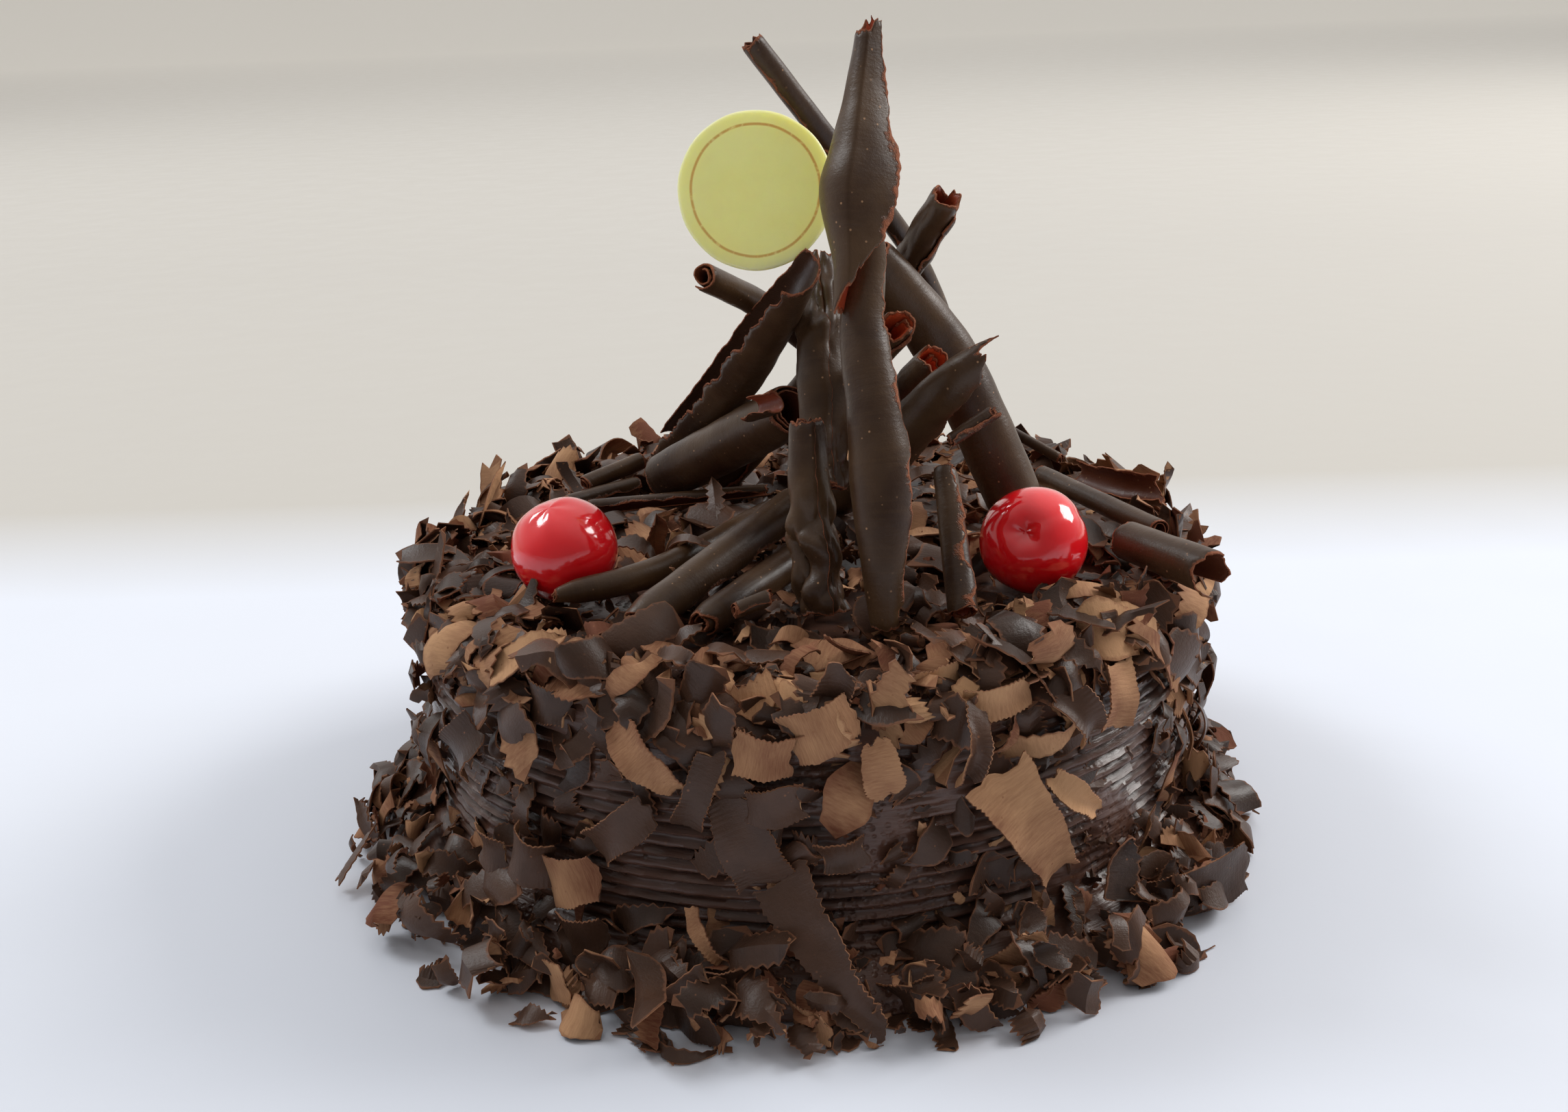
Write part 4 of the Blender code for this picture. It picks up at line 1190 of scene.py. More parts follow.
@dataclass(frozen=True)
class ShavingField:
    """Many curled shavings strewn over one zone of the cake, seeded and spread evenly.

    They pile up to `heap` and tip by about `lean`. None reaches past `limit` from the
    axis. A share `lit` shows its scraped side, and `pale` below 1 darkens those: painted shade for a
    zone that lies in less light.
    """

    zone: Zone
    count: int
    name: str = "shavings"
    lengths: Tuple[float, float] = (5.0, 17.0)
    widths: Tuple[float, float] = (3.0, 9.5)
    curls: Tuple[float, float] = (0.2, 3.4)
    heap: float = 4.0
    lean: float = 0.5
    wall: float = 0.5
    seed: int = 5
    rows: int = 15
    columns: int = 3
    lit: float = 0.42
    limit: float = 96.0
    # Below 1 it paints shade on the scraped sides of this zone's shavings
    pale: float = 1.0

    def seats(self, rng: np.random.Generator) -> Tuple[np.ndarray, np.ndarray]:
        """Spread the places by golden-angle turns, which fill the top as one spiral.

        Args:
            rng: The field's own random numbers.

        Returns:
            Places and outward directions, one row each.
        """
        k = np.arange(self.count)
        even = (k + 0.5) / self.count
        stray = rng.uniform(-1.0, 1.0, self.count)
        turn = GOLDEN * k + 0.2 * stray
        heap = self.heap * (1.0 - 0.5 * np.sin(turn))
        if self.zone is Zone.TOP:
            reach = 81.0 * np.sqrt(even)
            pile = heap * (1.0 - 0.4 * smooth_step(reach, 50.0, 75.0))
            height = CAKE_TOP + pile * rng.uniform(0.0, 1.0, self.count) ** 1.5
            height = height + 2.0 * smooth_step(-reach, -70.0, -30.0)
            lean = np.full(self.count, math.pi / 2)
        elif self.zone is Zone.RIM:
            lean = rng.uniform(0.05, 1.45, self.count)
            reach = CAKE_RADIUS - SHOULDER - 2.0 + SHOULDER * np.cos(lean)
            reach = reach + 0.35 * heap * rng.uniform(-0.5, 1.0, self.count)
            pile = heap * 0.6 * rng.uniform(0, 1, self.count)
            height = CAKE_TOP - SHOULDER + SHOULDER * np.sin(lean) + pile
        elif self.zone is Zone.SIDE:
            height = FOOT_HEIGHT + 42.0 * rng.uniform(0.0, 1.0, self.count) ** 0.8
            reach = np.full(self.count, CAKE_RADIUS - 0.4)
            lean = np.full(self.count, 0.1)
        else:
            height = 0.5 + FOOT_HEIGHT * rng.uniform(0.0, 1.0, self.count) ** 1.3
            front = smooth_step(np.cos(turn - HEAP_TURN), 0.12, 0.66)
            spread = self.heap * (0.95 + 2.4 * front - 0.45 * np.maximum(np.cos(turn), 0.0))
            spread = spread * (1.0 - 0.3 * np.maximum(np.sin(turn), 0.0))
            reach = FOOT_RADIUS - 2.0 - 0.42 * height + spread * rng.uniform(-0.4, 1.0, self.count)
            lean = rng.uniform(0.3, 1.0, self.count)
        place = np.stack([reach * np.cos(turn), reach * np.sin(turn), height], axis=1)
        out = [np.cos(lean) * np.cos(turn), np.cos(lean) * np.sin(turn), np.sin(lean)]
        return place, np.stack(out, axis=1)

    def shapes(self, rng: np.random.Generator) -> Tuple[np.ndarray, np.ndarray, np.ndarray]:
        """Shape each shaving on its own axes, its length along x and its curl towards -z.

        The strip's heading turns by `curl` over its length, faster at one end, and its
        line is the running sum of the heading. Its width swells in the middle, its two
        long edges carry saw teeth, and it is a little cupped and twisted.

        Args:
            rng: The field's own random numbers.

        Returns:
            Points, the marks' grain, and the wall at each point.
        """
        count, rows, columns = self.count, self.rows, self.columns
        share = np.linspace(-0.5, 0.5, rows)[None, :, None]
        side = np.linspace(-1.0, 1.0, columns)[None, None, :]
        one = (count, 1, 1)
        two = (count, 1, 2)
        size = rng.uniform(0.0, 1.0, one) ** 1.5
        length = self.lengths[0] + (self.lengths[1] - self.lengths[0]) * size
        width = rng.uniform(*self.widths, one) * (0.65 + 0.5 * size)
        curl = rng.uniform(0.0, 1.0, one) ** 1.3
        curl = self.curls[0] + (self.curls[1] - self.curls[0]) * curl
        heading = curl * np.sign(rng.uniform(-0.4, 1.0, one)) * share
        heading = heading * (1.0 + rng.uniform(-1.2, 1.2, one) * share)
        step = length / (rows - 1)
        line_x = (np.cumsum(np.cos(heading), axis=1) - 0.5) * step
        line_z = -(np.cumsum(np.sin(heading), axis=1) - 0.5) * step

        narrow = rng.uniform(0.1, 0.95, two)
        away = np.abs(2 * share + rng.uniform(-0.7, 0.7, two))
        swell = np.clip(1.0 - narrow * away ** rng.uniform(1.3, 4.0, two), 0.12, 1.1)
        swell = swell + 0.12 * np.sin(9 * share + rng.uniform(0.0, TURN, two))
        tooth = np.where(np.arange(rows) % 2, 1.0, -1.0)[None, :, None]
        tooth = tooth + rng.uniform(-0.8, 0.8, (count, rows, 2))
        bite = rng.uniform(0.0, 1.0, two) ** 1.5 * np.array([0.75, 0.4])
        rims = 0.5 * width * swell + np.minimum(bite, 0.16 * width) * tooth
        near, far = rims[..., :1], rims[..., 1:]
        y = np.concatenate([-near, 0.12 * (far - near), far], axis=2)
        y = y + rng.uniform(-0.5, 0.5, one) * width * share
        ends = np.abs(2 * share) ** 6 * np.sign(share)
        line_x = line_x + ends * rng.uniform(-0.13, 0.13, (count, 1, columns)) * length
        cup = rng.uniform(-0.14, 0.3, one) * width * side ** 2
        twist = rng.uniform(-0.8, 0.8, one) * share
        z = line_z - cup + np.zeros_like(y)
        turned_y = y * np.cos(twist) - z * np.sin(twist) * 0.3
        turned_z = z + y * np.sin(twist)
        points = np.stack([line_x + np.zeros_like(y), turned_y, turned_z], axis=-1)
        run = 0.5 * (share + 0.5) * (rows - 1) + np.zeros_like(y)
        number = 7.0 * np.arange(count)[:, None, None] + np.zeros_like(y)
        rim = 1.0 - 0.35 * np.maximum(side ** 4, np.abs(2 * share) ** 8)
        return points, np.stack([run, y, number], axis=-1), self.wall * rim * np.ones_like(y)

    def settle(self, rng: np.random.Generator, points: np.ndarray, place: np.ndarray,
               out: np.ndarray) -> np.ndarray:
        """Turn each shaving on its seat, lean it, and sink its lowest point a little.

        Args:
            rng: The field's own random numbers.
            points: Shapes on their own axes.
            place: Where each one sits.
            out: The outward direction there.

        Returns:
            The shapes in place.
        """
        first = unit(np.cross(out, np.array([0.31, 0.17, 0.93])))
        second = np.cross(out, first)
        spin = rng.uniform(0.0, TURN, self.count)[:, None]
        forward = np.cos(spin) * first + np.sin(spin) * second
        sideways = np.cross(out, forward)
        lean = rng.normal(0.0, self.lean, self.count).clip(-1.3, 1.3)[:, None]
        tipped = np.cos(lean) * forward + np.sin(lean) * out
        raised = np.cross(tipped, sideways)
        roll = rng.normal(0.0, 0.6 * self.lean, self.count).clip(-1.0, 1.0)[:, None]
        beside = np.cos(roll) * sideways + np.sin(roll) * raised
        raised = np.cross(tipped, beside)
        axes = np.stack([tipped, beside, raised], axis=1)
        world = np.einsum("nabk,nkc->nabc", points, axes)
        along_out = np.einsum("nabc,nc->nab", world, out)
        lowest = along_out.min(axis=(1, 2)) * 0.75 + along_out.mean(axis=(1, 2)) * 0.25
        return world + (place - out * (lowest + SINK)[:, None])[:, None, None, :]

    def drawn_in(self, world: np.ndarray, outward: np.ndarray) -> np.ndarray:
        """Move each shaving that reaches too far straight back towards the axis.

        Args:
            world: The shavings in place.
            outward: The level outward direction of each.

        Returns:
            The shavings, none past the bounds.
        """
        bound = np.minimum(self.limit, REACH_SIDEWAYS / np.maximum(np.abs(outward[:, 0]), 0.1))
        bound = np.minimum(bound, REACH_FRONT / np.maximum(-outward[:, 1], 0.1))
        bound = np.minimum(bound, REACH_BACK / np.maximum(outward[:, 1], 0.1))
        furthest = np.hypot(world[..., 0], world[..., 1]).max(axis=(1, 2))
        excess = np.maximum(furthest - bound, 0.0)
        return world - (excess[:, None] * outward)[:, None, None, :]

    def build(self, material: bpy.types.Material, centres: np.ndarray,
              reach: np.ndarray) -> bpy.types.Object:
        """Make the field, leaving out shavings that would cut into a roll or a cherry.

        Args:
            material: The shaving finish.
            centres: Centres of the balls to keep clear of.
            reach: Their radii.

        Returns:
            The new object.
        """
        rng = np.random.default_rng(self.seed)
        place, out = self.seats(rng)
        points, grain, wall = self.shapes(rng)
        world = self.settle(rng, points, place, out)
        world = self.drawn_in(world, unit(place * (1.0, 1.0, 0.0)))
        samples = world[:, ::3, :].reshape(self.count, -1, 3)
        gaps = np.linalg.norm(samples[:, :, None] - centres, axis=3) - reach
        keep = gaps.min(axis=(1, 2)) > -OVERLAP
        low = OVER_TABLE + 0.01 * np.abs(world[..., 2])
        world[..., 2] = np.maximum(world[..., 2], low)
        light = (rng.uniform(0.0, 1.0, self.count) < self.lit).astype(float)
        # `pale` darkens the scraped sides of the zone: painted shade
        tone_and_painted_light = rng.uniform(0.0, 1.0, self.count) * np.where(light > 0.5, self.pale, 1.0)
        edge = np.ones(world.shape[:3])
        edge[:, 1:-1, 1:-1] = 0.3
        kept = (values[keep] for values in (world, wall, edge, tone_and_painted_light, grain, light))
        parts = Sheets(*kept).shells()
        item = parts.make(f"{self.name}_{self.zone.value}", material)
        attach(item, "root")
        LOG.info("%s: %d of %d shavings, %d triangles", item.name, int(keep.sum()), self.count,
                 parts.count())
        return item


@dataclass(frozen=True)
class LargeShaving:
    """A shaving of the front that is given one by one: a strip wrapped round the drum.

    Its start and end are turn in degrees, distance from the axis and height. Its middle
    stands out by `bulge`, its long edges bend away by `cup`, and `light` is the share of
    its outer side that is the scraped one.
    """

    start: Triple
    end: Triple
    width_start: float
    width_end: float
    bulge: float
    light: float = 0.0
    cup: float = 1.2
    teeth: float = 0.5
    point: float = 0.0
    tooth: float = 0.95

    def rim(self, run: np.ndarray, half: np.ndarray, seed: int) -> np.ndarray:
        """Cut saw teeth and a tear into half of the width.

        Args:
            run: Millimetres along the strip.
            half: Half the width there.
            seed: Picks the cut.

        Returns:
            The distance from the strip's line to its edge.
        """
        saw = np.abs(((run / self.tooth) % 1.0) - 0.5) * 2.0
        cut = self.teeth * saw * (0.6 + 0.4 * waves(run, seed))
        return half - cut - 0.5 * ragged(run, seed + 1, 1.2)

    def middle(self, rows: int, columns: int, seed: int) -> np.ndarray:
        """Place the strip's grid, as the part's own large flakes are placed.

        Args:
            rows: Points along the strip.
            columns: Points across it.
            seed: Picks its torn outline.

        Returns:
            Points, rows by columns.
        """
        share = eased_line(rows, 0.012)
        cross = 2.0 * eased_line(columns, 0.02) - 1.0
        start, end = np.array(self.start)[None], np.array(self.end)[None]
        way = start * (1 - share[:, None]) + end * share[:, None]
        way[:, 1] += self.bulge * np.sin(math.pi * share)
        turn = np.radians(way[:, 0])
        line = np.stack([way[:, 1] * np.cos(turn), way[:, 1] * np.sin(turn), way[:, 2]], axis=1)
        outward = unit(line * (1.0, 1.0, 0.0))
        heading = unit(np.gradient(line, axis=0))
        across = unit(np.cross(heading, outward))
        skin = unit(np.cross(across, heading))
        skin = skin * np.sign((skin * outward).sum(1, keepdims=True))
        length = float(np.linalg.norm(np.diff(line, axis=0), axis=1).sum())
        run = share * length
        half = 0.5 * (self.width_start * (1 - share) + self.width_end * share)
        half = half * (1.0 - self.point * np.abs(2 * share - 1.0) ** 3)
        left, right = self.rim(run, half, seed)[:, None], self.rim(run, half, seed + 2)[:, None]
        offset = np.where(cross[None] < 0, left, right) * cross[None]
        wander = 0.6 + 0.4 * waves(run / 3, seed + 4)
        lift = self.cup * np.abs(cross[None]) ** 2.2 * wander[:, None]
        lift = lift + 0.35 * waves(run[:, None] / 2 + 3 * cross[None], seed + 5, 0.2, 1.2)
        first = ragged(cross * self.width_start / 2, seed + 6, 2.2)[None]
        last = ragged(cross * self.width_end / 2, seed + 7, 2.2)[None]
        ends = first * (1 - share[:, None]) ** 12 - last * share[:, None] ** 12
        grid = line[:, None] + across[:, None] * offset[..., None] + skin[:, None] * lift[..., None]
        return grid + heading[:, None] * ends[..., None]


@dataclass(frozen=True)
class LargeShavings:
    """The shavings of the front that stand out, each where its own flake is in the solid."""

    rows: int = 64
    columns: int = 15
    wall: float = 0.55
    lowest: float = 0.4
    strips: Tuple[LargeShaving, ...] = (
        LargeShaving((-94.6, 93.6, 29), (-83.6, 108, 1.5), 14, 5, 2.0, 0.0, 0.8, teeth=1.3),
        LargeShaving((-100, 92.6, 45), (-95.5, 94.0, 26), 11, 13, 1.6, 0.0, 1.0, teeth=0.9),
        LargeShaving((-99, 93.5, 55), (-92, 93.5, 53), 10, 9, 2.0, 1.0, 1.6),
        LargeShaving((-93, 93.0, 56), (-85, 91.0, 61), 11, 10, 3.0, 1.0, 1.4),
        LargeShaving((-82, 93.5, 43), (-83, 93.5, 57), 9, 8, 2.4, 1.0, 1.0, point=0.5),
        LargeShaving((-69, 93.5, 46), (-60, 95.0, 20), 15, 9, 3.0, 1.0, 1.6),
        LargeShaving((-71, 92.0, 60), (-73, 94.0, 46), 5, 5, 5.0, 0.0, 2.0),
        LargeShaving((-113, 92.5, 58), (-105, 94.0, 46), 11, 6, 3.5, 1.0, 1.8, point=0.4),
        LargeShaving((-89, 88.0, 59), (-86, 91.5, 70), 9, 7, 0.8, 0.0, 1.2),
        LargeShaving((-79, 84.0, 60), (-70, 84.0, 62), 9, 8, 2.2, 1.0, 1.2),
        LargeShaving((-72, 89.0, 58), (-63, 90.0, 60), 8, 7, 2.6, 1.0, 1.2),
        LargeShaving((-117, 84.0, 60), (-109, 85.0, 61), 8, 7, 2.2, 1.0, 1.0),
        LargeShaving((-128, 89.0, 58), (-120, 91.0, 57), 10, 8, 3.0, 0.0, 1.6),
        LargeShaving((-51, 93.5, 46), (-49, 91.0, 60), 10, 9, 2.0, 1.0, 1.2),
        LargeShaving((-59, 93.0, 58), (-56, 94.0, 48), 8, 7, 4.0, 0.0, 1.8),
        LargeShaving((-62, 94.0, 43), (-54, 94.0, 30), 7, 5, 3.0, 1.0, 1.2, point=0.4),
        LargeShaving((-130, 94.0, 26), (-123, 94.0, 24), 12, 11, 4.0, 0.0, 2.0),
        LargeShaving((-125, 94.0, 20), (-116, 95.0, 25), 13, 10, 3.0, 1.0, 1.4),
        LargeShaving((-137, 94.0, 22), (-130, 95.0, 22), 9, 8, 2.6, 0.0, 1.4),
        LargeShaving((-141, 94.0, 37), (-135, 94.0, 49), 11, 9, 2.6, 0.0, 1.4),
        LargeShaving((-47, 96.0, 3), (-34, 110.0, 9), 16, 15, 1.0, 0.0, 1.2),
        LargeShaving((-90, 94.0, 33), (-84, 94.0, 34), 7, 7, 3.0, 0.0, 2.0),
        LargeShaving((-105, 94.0, 21), (-100, 96.0, 10), 4, 4, 4.0, 1.0, 1.2),
        LargeShaving((-122, 96.0, 11), (-115, 96.5, 13), 9, 9, 3.0, 0.0, 1.4),
        LargeShaving((-106, 97.0, 5), (-96, 99.0, 11), 9, 6, 3.0, 0.0, 1.4),
        LargeShaving((-124, 97.0, 3), (-116, 108.0, 8), 11, 9, 2.0, 1.0, 1.2),
        LargeShaving((-108, 97.0, 3), (-100, 109.0, 5), 10, 8, 2.5, 0.0, 1.2),
        LargeShaving((-94, 97.0, 3), (-89, 109.0, 5), 8, 8, 2.0, 1.0, 1.2),
        LargeShaving((-77, 97.0, 3), (-70, 108.0, 5), 9, 8, 2.0, 0.0, 1.2),
        LargeShaving((-71, 96.0, 3), (-66, 102.0, 15), 9, 7, 1.5, 1.0, 1.2),
        LargeShaving((-83, 96.0, 3), (-77, 104.0, 9), 8, 8, 2.0, 0.0, 1.2),
        LargeShaving((-56, 96.0, 3), (-50, 104.0, 7), 8, 7, 3.0, 1.0, 1.4),
        LargeShaving((-117, 93.5, 30), (-109, 93.5, 41), 9, 8, 2.2, 0.0, 1.4),
        LargeShaving((-105, 93.5, 37), (-101, 93.5, 55), 7, 6, 2.2, 0.0, 1.4),
        LargeShaving((-98, 93.5, 43), (-91, 93.5, 45), 8, 8, 2.4, 0.0, 1.4),
    )

    def build(self, material: bpy.types.Material) -> bpy.types.Object:
        """Make every large shaving in one piece.

        Args:
            material: The shaving finish.

        Returns:
            The new object.
        """
        number = len(self.strips)
        middle = np.stack([strip.middle(self.rows, self.columns, 100 + 9 * k)
                           for k, strip in enumerate(self.strips)])
        middle[..., 2] = np.maximum(middle[..., 2], self.lowest)
        from_end = np.minimum(np.arange(self.rows), np.arange(self.rows)[::-1])
        from_side = np.minimum(np.arange(self.columns), np.arange(self.columns)[::-1])
        inwards = np.minimum(from_end[:, None], from_side[None])
        torn = np.where(inwards < 1, 1.0, 0.6)
        wall = self.wall * np.where(inwards < 2, 0.6, 1.0)
        shape = (number, self.rows, self.columns)
        run = np.linspace(0.0, 16.0, self.rows)[None, :, None] * np.ones(shape)
        cross = np.linspace(-5.0, 5.0, self.columns)[None, None, :] * np.ones(shape)
        piece = 11.0 * np.arange(number)[:, None, None] * np.ones(shape)
        grain = np.stack([run, cross, piece], axis=-1)
        outer = np.array([1.0 - strip.light for strip in self.strips])
        tone_and_painted_light = np.random.default_rng(77).uniform(0.35, 1.0, number)
        wall, torn = wall * np.ones(shape), torn * np.ones(shape)
        parts = Sheets(middle, wall, torn, tone_and_painted_light, grain, outer).shells()
        item = parts.make("shavings_large", material)
        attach(item, "root")
        LOG.info("%s: %d shavings, %d triangles", item.name, number, parts.count())
        return item


@dataclass(frozen=True)
class CreamDrum:
    """The cake under its shavings: a drum with combed sides, a round shoulder and a foot."""

    sides: int = 720
    rows: int = 128
    comb_pitch: float = 2.6
    comb_depth: float = 1.5
    comb_from: float = 9.0
    comb_to: float = 52.0
    top_rows: int = 7
    wave_height: float = 0.45

    def outline(self) -> Tuple[np.ndarray, np.ndarray]:
        """List the outline from the rim of the underside to the top centre.

        Returns:
            Distances from the axis and heights, one for each row.
        """
        turn = np.linspace(0.0, math.pi / 2, 8)
        foot_reach = [0.35 * FOOT_RADIUS, FOOT_RADIUS - 1.0, FOOT_RADIUS, FOOT_RADIUS - 0.5]
        side_reach = [CAKE_RADIUS + 0.5, CAKE_RADIUS]
        bend_reach = CAKE_RADIUS - SHOULDER + SHOULDER * np.cos(turn)
        reach = np.concatenate([foot_reach, side_reach, bend_reach, [60.0, 25.0, 0.4]])
        foot_height, side_height = [0.0, 0.0, 0.8, 4.0], [FOOT_HEIGHT, 16.0]
        bend_height = CAKE_TOP - SHOULDER + SHOULDER * np.sin(turn)
        height = np.concatenate([foot_height, side_height, bend_height, [CAKE_TOP] * 3])
        lengths = np.hypot(np.diff(reach), np.diff(height))
        travel = np.concatenate([[0.0], np.cumsum(lengths)])
        foot, top, centre = travel[1], travel[-4], travel[-1]
        over = self.top_rows
        side = np.linspace(foot, top, self.rows - over)
        wanted = np.concatenate([[0.0], side, np.linspace(top, centre, over)[1:]])
        return np.interp(wanted, travel, reach), np.interp(wanted, travel, height)

    def comb(self, angle: np.ndarray, level: np.ndarray) -> Tuple[np.ndarray, np.ndarray]:
        """Work out how deep the comb cuts the side.

        It is a rounded wave of height. Its phase drifts slowly round the cake, and its
        depth fades in patches where the cream is smeared.

        Args:
            angle: The turn round the cake.
            level: The height.

        Returns:
            The cut, 0 to 1, and the share of combed side at each point.
        """
        drift = 0.7 * np.sin(2 * angle + 1.0) + 0.35 * np.sin(5 * angle + 0.4)
        drift = drift + 0.12 * np.sin(17 * angle)
        phase = math.pi * (level + drift) / self.comb_pitch
        groove = 1.0 - np.abs(np.cos(phase)) ** 1.6
        fine = 0.5 + 0.5 * np.sin(3.0 * phase + 0.8 * np.sin(9 * angle))
        patches = np.sin(4 * angle + 0.11 * level) + np.sin(9 * angle - 0.07 * level + 1.3)
        patches = patches + 0.7 * np.sin(23 * angle + 0.2 * level)
        smear = smooth_step(patches, -1.9, -0.7)
        ended = 1.0 - smooth_step(level, self.comb_to - 3, self.comb_to + 2)
        band = smooth_step(level, self.comb_from - 2, self.comb_from + 2) * ended
        return band * smear * (0.82 * groove + 0.18 * fine), band

    def build(self, material: bpy.types.Material) -> bpy.types.Object:
        """Turn the outline, comb it and close both ends.

        Slow waves round the cake and small lumps on its top keep it from being a true
        drum.

        Args:
            material: The cream finish.

        Returns:
            The new object, in place of the cake's node.
        """
        reach, height = self.outline()
        turn = np.linspace(0.0, TURN, self.sides, endpoint=False)
        angle, level = np.meshgrid(turn, height)
        radius = np.repeat(reach[:, None], self.sides, axis=1)
        wave = np.sin(3 * angle + 0.7) + 0.6 * np.sin(7 * angle + 0.03 * level)
        wave = wave + 0.4 * np.cos(12 * angle - 0.06 * level)
        radius = radius + np.clip(radius / 94.0, 0, 1) * self.wave_height * wave
        cut, band = self.comb(angle, level)
        rough = 0.18 * np.sin(61 * angle + 0.9 * level) * np.sin(37 * angle - 1.7 * level)
        radius = radius - self.comb_depth * cut + rough * band
        across, along = radius * np.cos(angle), radius * np.sin(angle)
        lumps = 0.5 * np.sin(0.11 * across) * np.sin(0.13 * along)
        level = level + np.where(level > CAKE_TOP - 2.0, lumps, 0.0)
        points = np.stack([across, along, level], axis=-1).reshape(-1, 3)
        points = np.concatenate([points, [[0.0, 0.0, 0.0], [0.0, 0.0, level[-1].mean()]]])
        # This mark tells the finish where to paint the ridges' highlight
        marks = {"ridge_highlight": np.concatenate([(1.0 - cut).ravel(), [0.0, 1.0]])}
        parts = MeshParts(points, turned_faces(len(height), self.sides), marks)
        item = parts.make("cream_drum", material, sharp=75.0)
        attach(item, "root")
        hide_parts("cake")
        LOG.info("%s: %d triangles", item.name, parts.count())
        return item


@dataclass(frozen=True)
class Cherry:
    """A glazed cherry: a ball, a little flat along its stem, with the stem's dimple."""

    node: str
    centre: Triple
    stem: Triple
    radius: float = 11.4
    dimple: float = 2.6
    dimple_width: float = 0.34
    seam_turn: float = 0.6
    squash: float = 0.96
    rings: int = 72
    sides: int = 110
    seed: int = 3

    def build(self, material: bpy.types.Material) -> bpy.types.Object:
        """Make the ball: its radius dips by a bell curve at the stem and wanders slowly.

        A shallow seam, a bell curve of the turn, runs down one side.

        Args:
            material: The cherry finish.

        Returns:
            The new object, in place of its node.
        """
        polar = np.linspace(0.0, math.pi, self.rings + 1)[1:-1]
        turn = np.linspace(0.0, TURN, self.sides, endpoint=False)
        polar, turn = np.meshgrid(polar, turn, indexing="ij")
        bell = np.exp(-((polar / self.dimple_width) ** 2))
        seam = np.exp(-((np.sin(turn - self.seam_turn) / 0.12) ** 2))
        seam = seam * (np.cos(turn - self.seam_turn) > 0) * np.sin(polar) ** 2
        reach = self.radius - self.dimple * bell - 0.22 * seam
        reach = reach + 0.16 * np.sin(2 * polar + self.seed) * np.sin(3 * turn + self.seed)
        reach = reach + 0.10 * np.sin(5 * polar) * np.sin(5 * turn + 2.0 * self.seed)
        flat = reach * np.sin(polar)
        points = [flat * np.cos(turn), flat * np.sin(turn), self.squash * reach * np.cos(polar)]
        top, bottom = self.squash * (self.radius - self.dimple), -self.squash * self.radius
        points = np.stack(points, axis=-1).reshape(-1, 3)
        points = np.concatenate([points, [[0, 0, top], [0, 0, bottom]]])
        faces = turned_faces(self.rings - 1, self.sides, downwards=True)
        marks = {"hollow": np.concatenate([bell.ravel(), [1.0, 0.0]])}
        parts = MeshParts(aimed(points, self.stem, self.centre), faces, marks)
        item = parts.make(f"{self.node}_glazed", material, sharp=80.0)
        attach(item, "root")
        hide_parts(self.node)
        LOG.info("%s: %d triangles", item.name, parts.count())
        return item


@dataclass(frozen=True)
class Disc:
    """The white chocolate disc: a turned coin with eased edges and a printed ring."""

    centre: Triple = (-8.0, -20.0, 146.0)
    normal: Triple = (-0.06, -0.97, 0.20)
    radius: float = 16.2
    thick: float = 2.4
    ease: float = 0.6
    ring_radius: float = 13.4
    ring_half_width: float = 0.28
    flat_rings: int = 60
    sides: int = 240

    def build(self, material: bpy.types.Material) -> bpy.types.Object:
        """Turn the coin's outline; the print is marked by the distance from the centre.

        Args:
            material: The white chocolate finish.

        Returns:
            The new object, in place of the plaque's node.
        """
        half = self.thick / 2
        inner = self.radius - self.ease
        bend = np.linspace(-math.pi / 2, 0.0, 6)
        corner = [inner + self.ease * np.cos(bend), half - self.ease - self.ease * np.sin(bend)]
        flat = np.linspace(0.3, inner - 0.05, self.flat_rings)[::-1]
        face = np.stack([flat, np.full(self.flat_rings, half)], axis=1)
        upper = np.concatenate([np.stack(corner, axis=1)[::-1], face])
        outline = np.concatenate([upper[::-1] * (1.0, -1.0), upper])
        turn = np.linspace(0.0, TURN, self.sides, endpoint=False)
        reach = outline[:, :1] * np.ones(self.sides)
        wavy = 1.0 + 0.004 * np.sin(3 * turn + 0.5) + 0.002 * np.sin(11 * turn)
        height = outline[:, 1:] * np.ones(self.sides)
        points = [reach * wavy * np.cos(turn), reach * wavy * np.sin(turn), height]
        points = np.stack(points, axis=-1).reshape(-1, 3)
        points = np.concatenate([points, [[0.0, 0.0, -half], [0.0, 0.0, half]]])
        ring = (np.abs(reach - self.ring_radius) < self.ring_half_width) & (height > 0)
        marks = {"print": np.concatenate([ring.astype(float).ravel(), [0.0, 0.0]])}
        faces = turned_faces(len(outline), self.sides)
        parts = MeshParts(aimed(points, self.normal, self.centre), faces, marks)
        item = parts.make("plaque_disc", material, sharp=60.0)
        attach(item, "root")
        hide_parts("plaque")
        LOG.info("%s: %d triangles", item.name, parts.count())
        return item


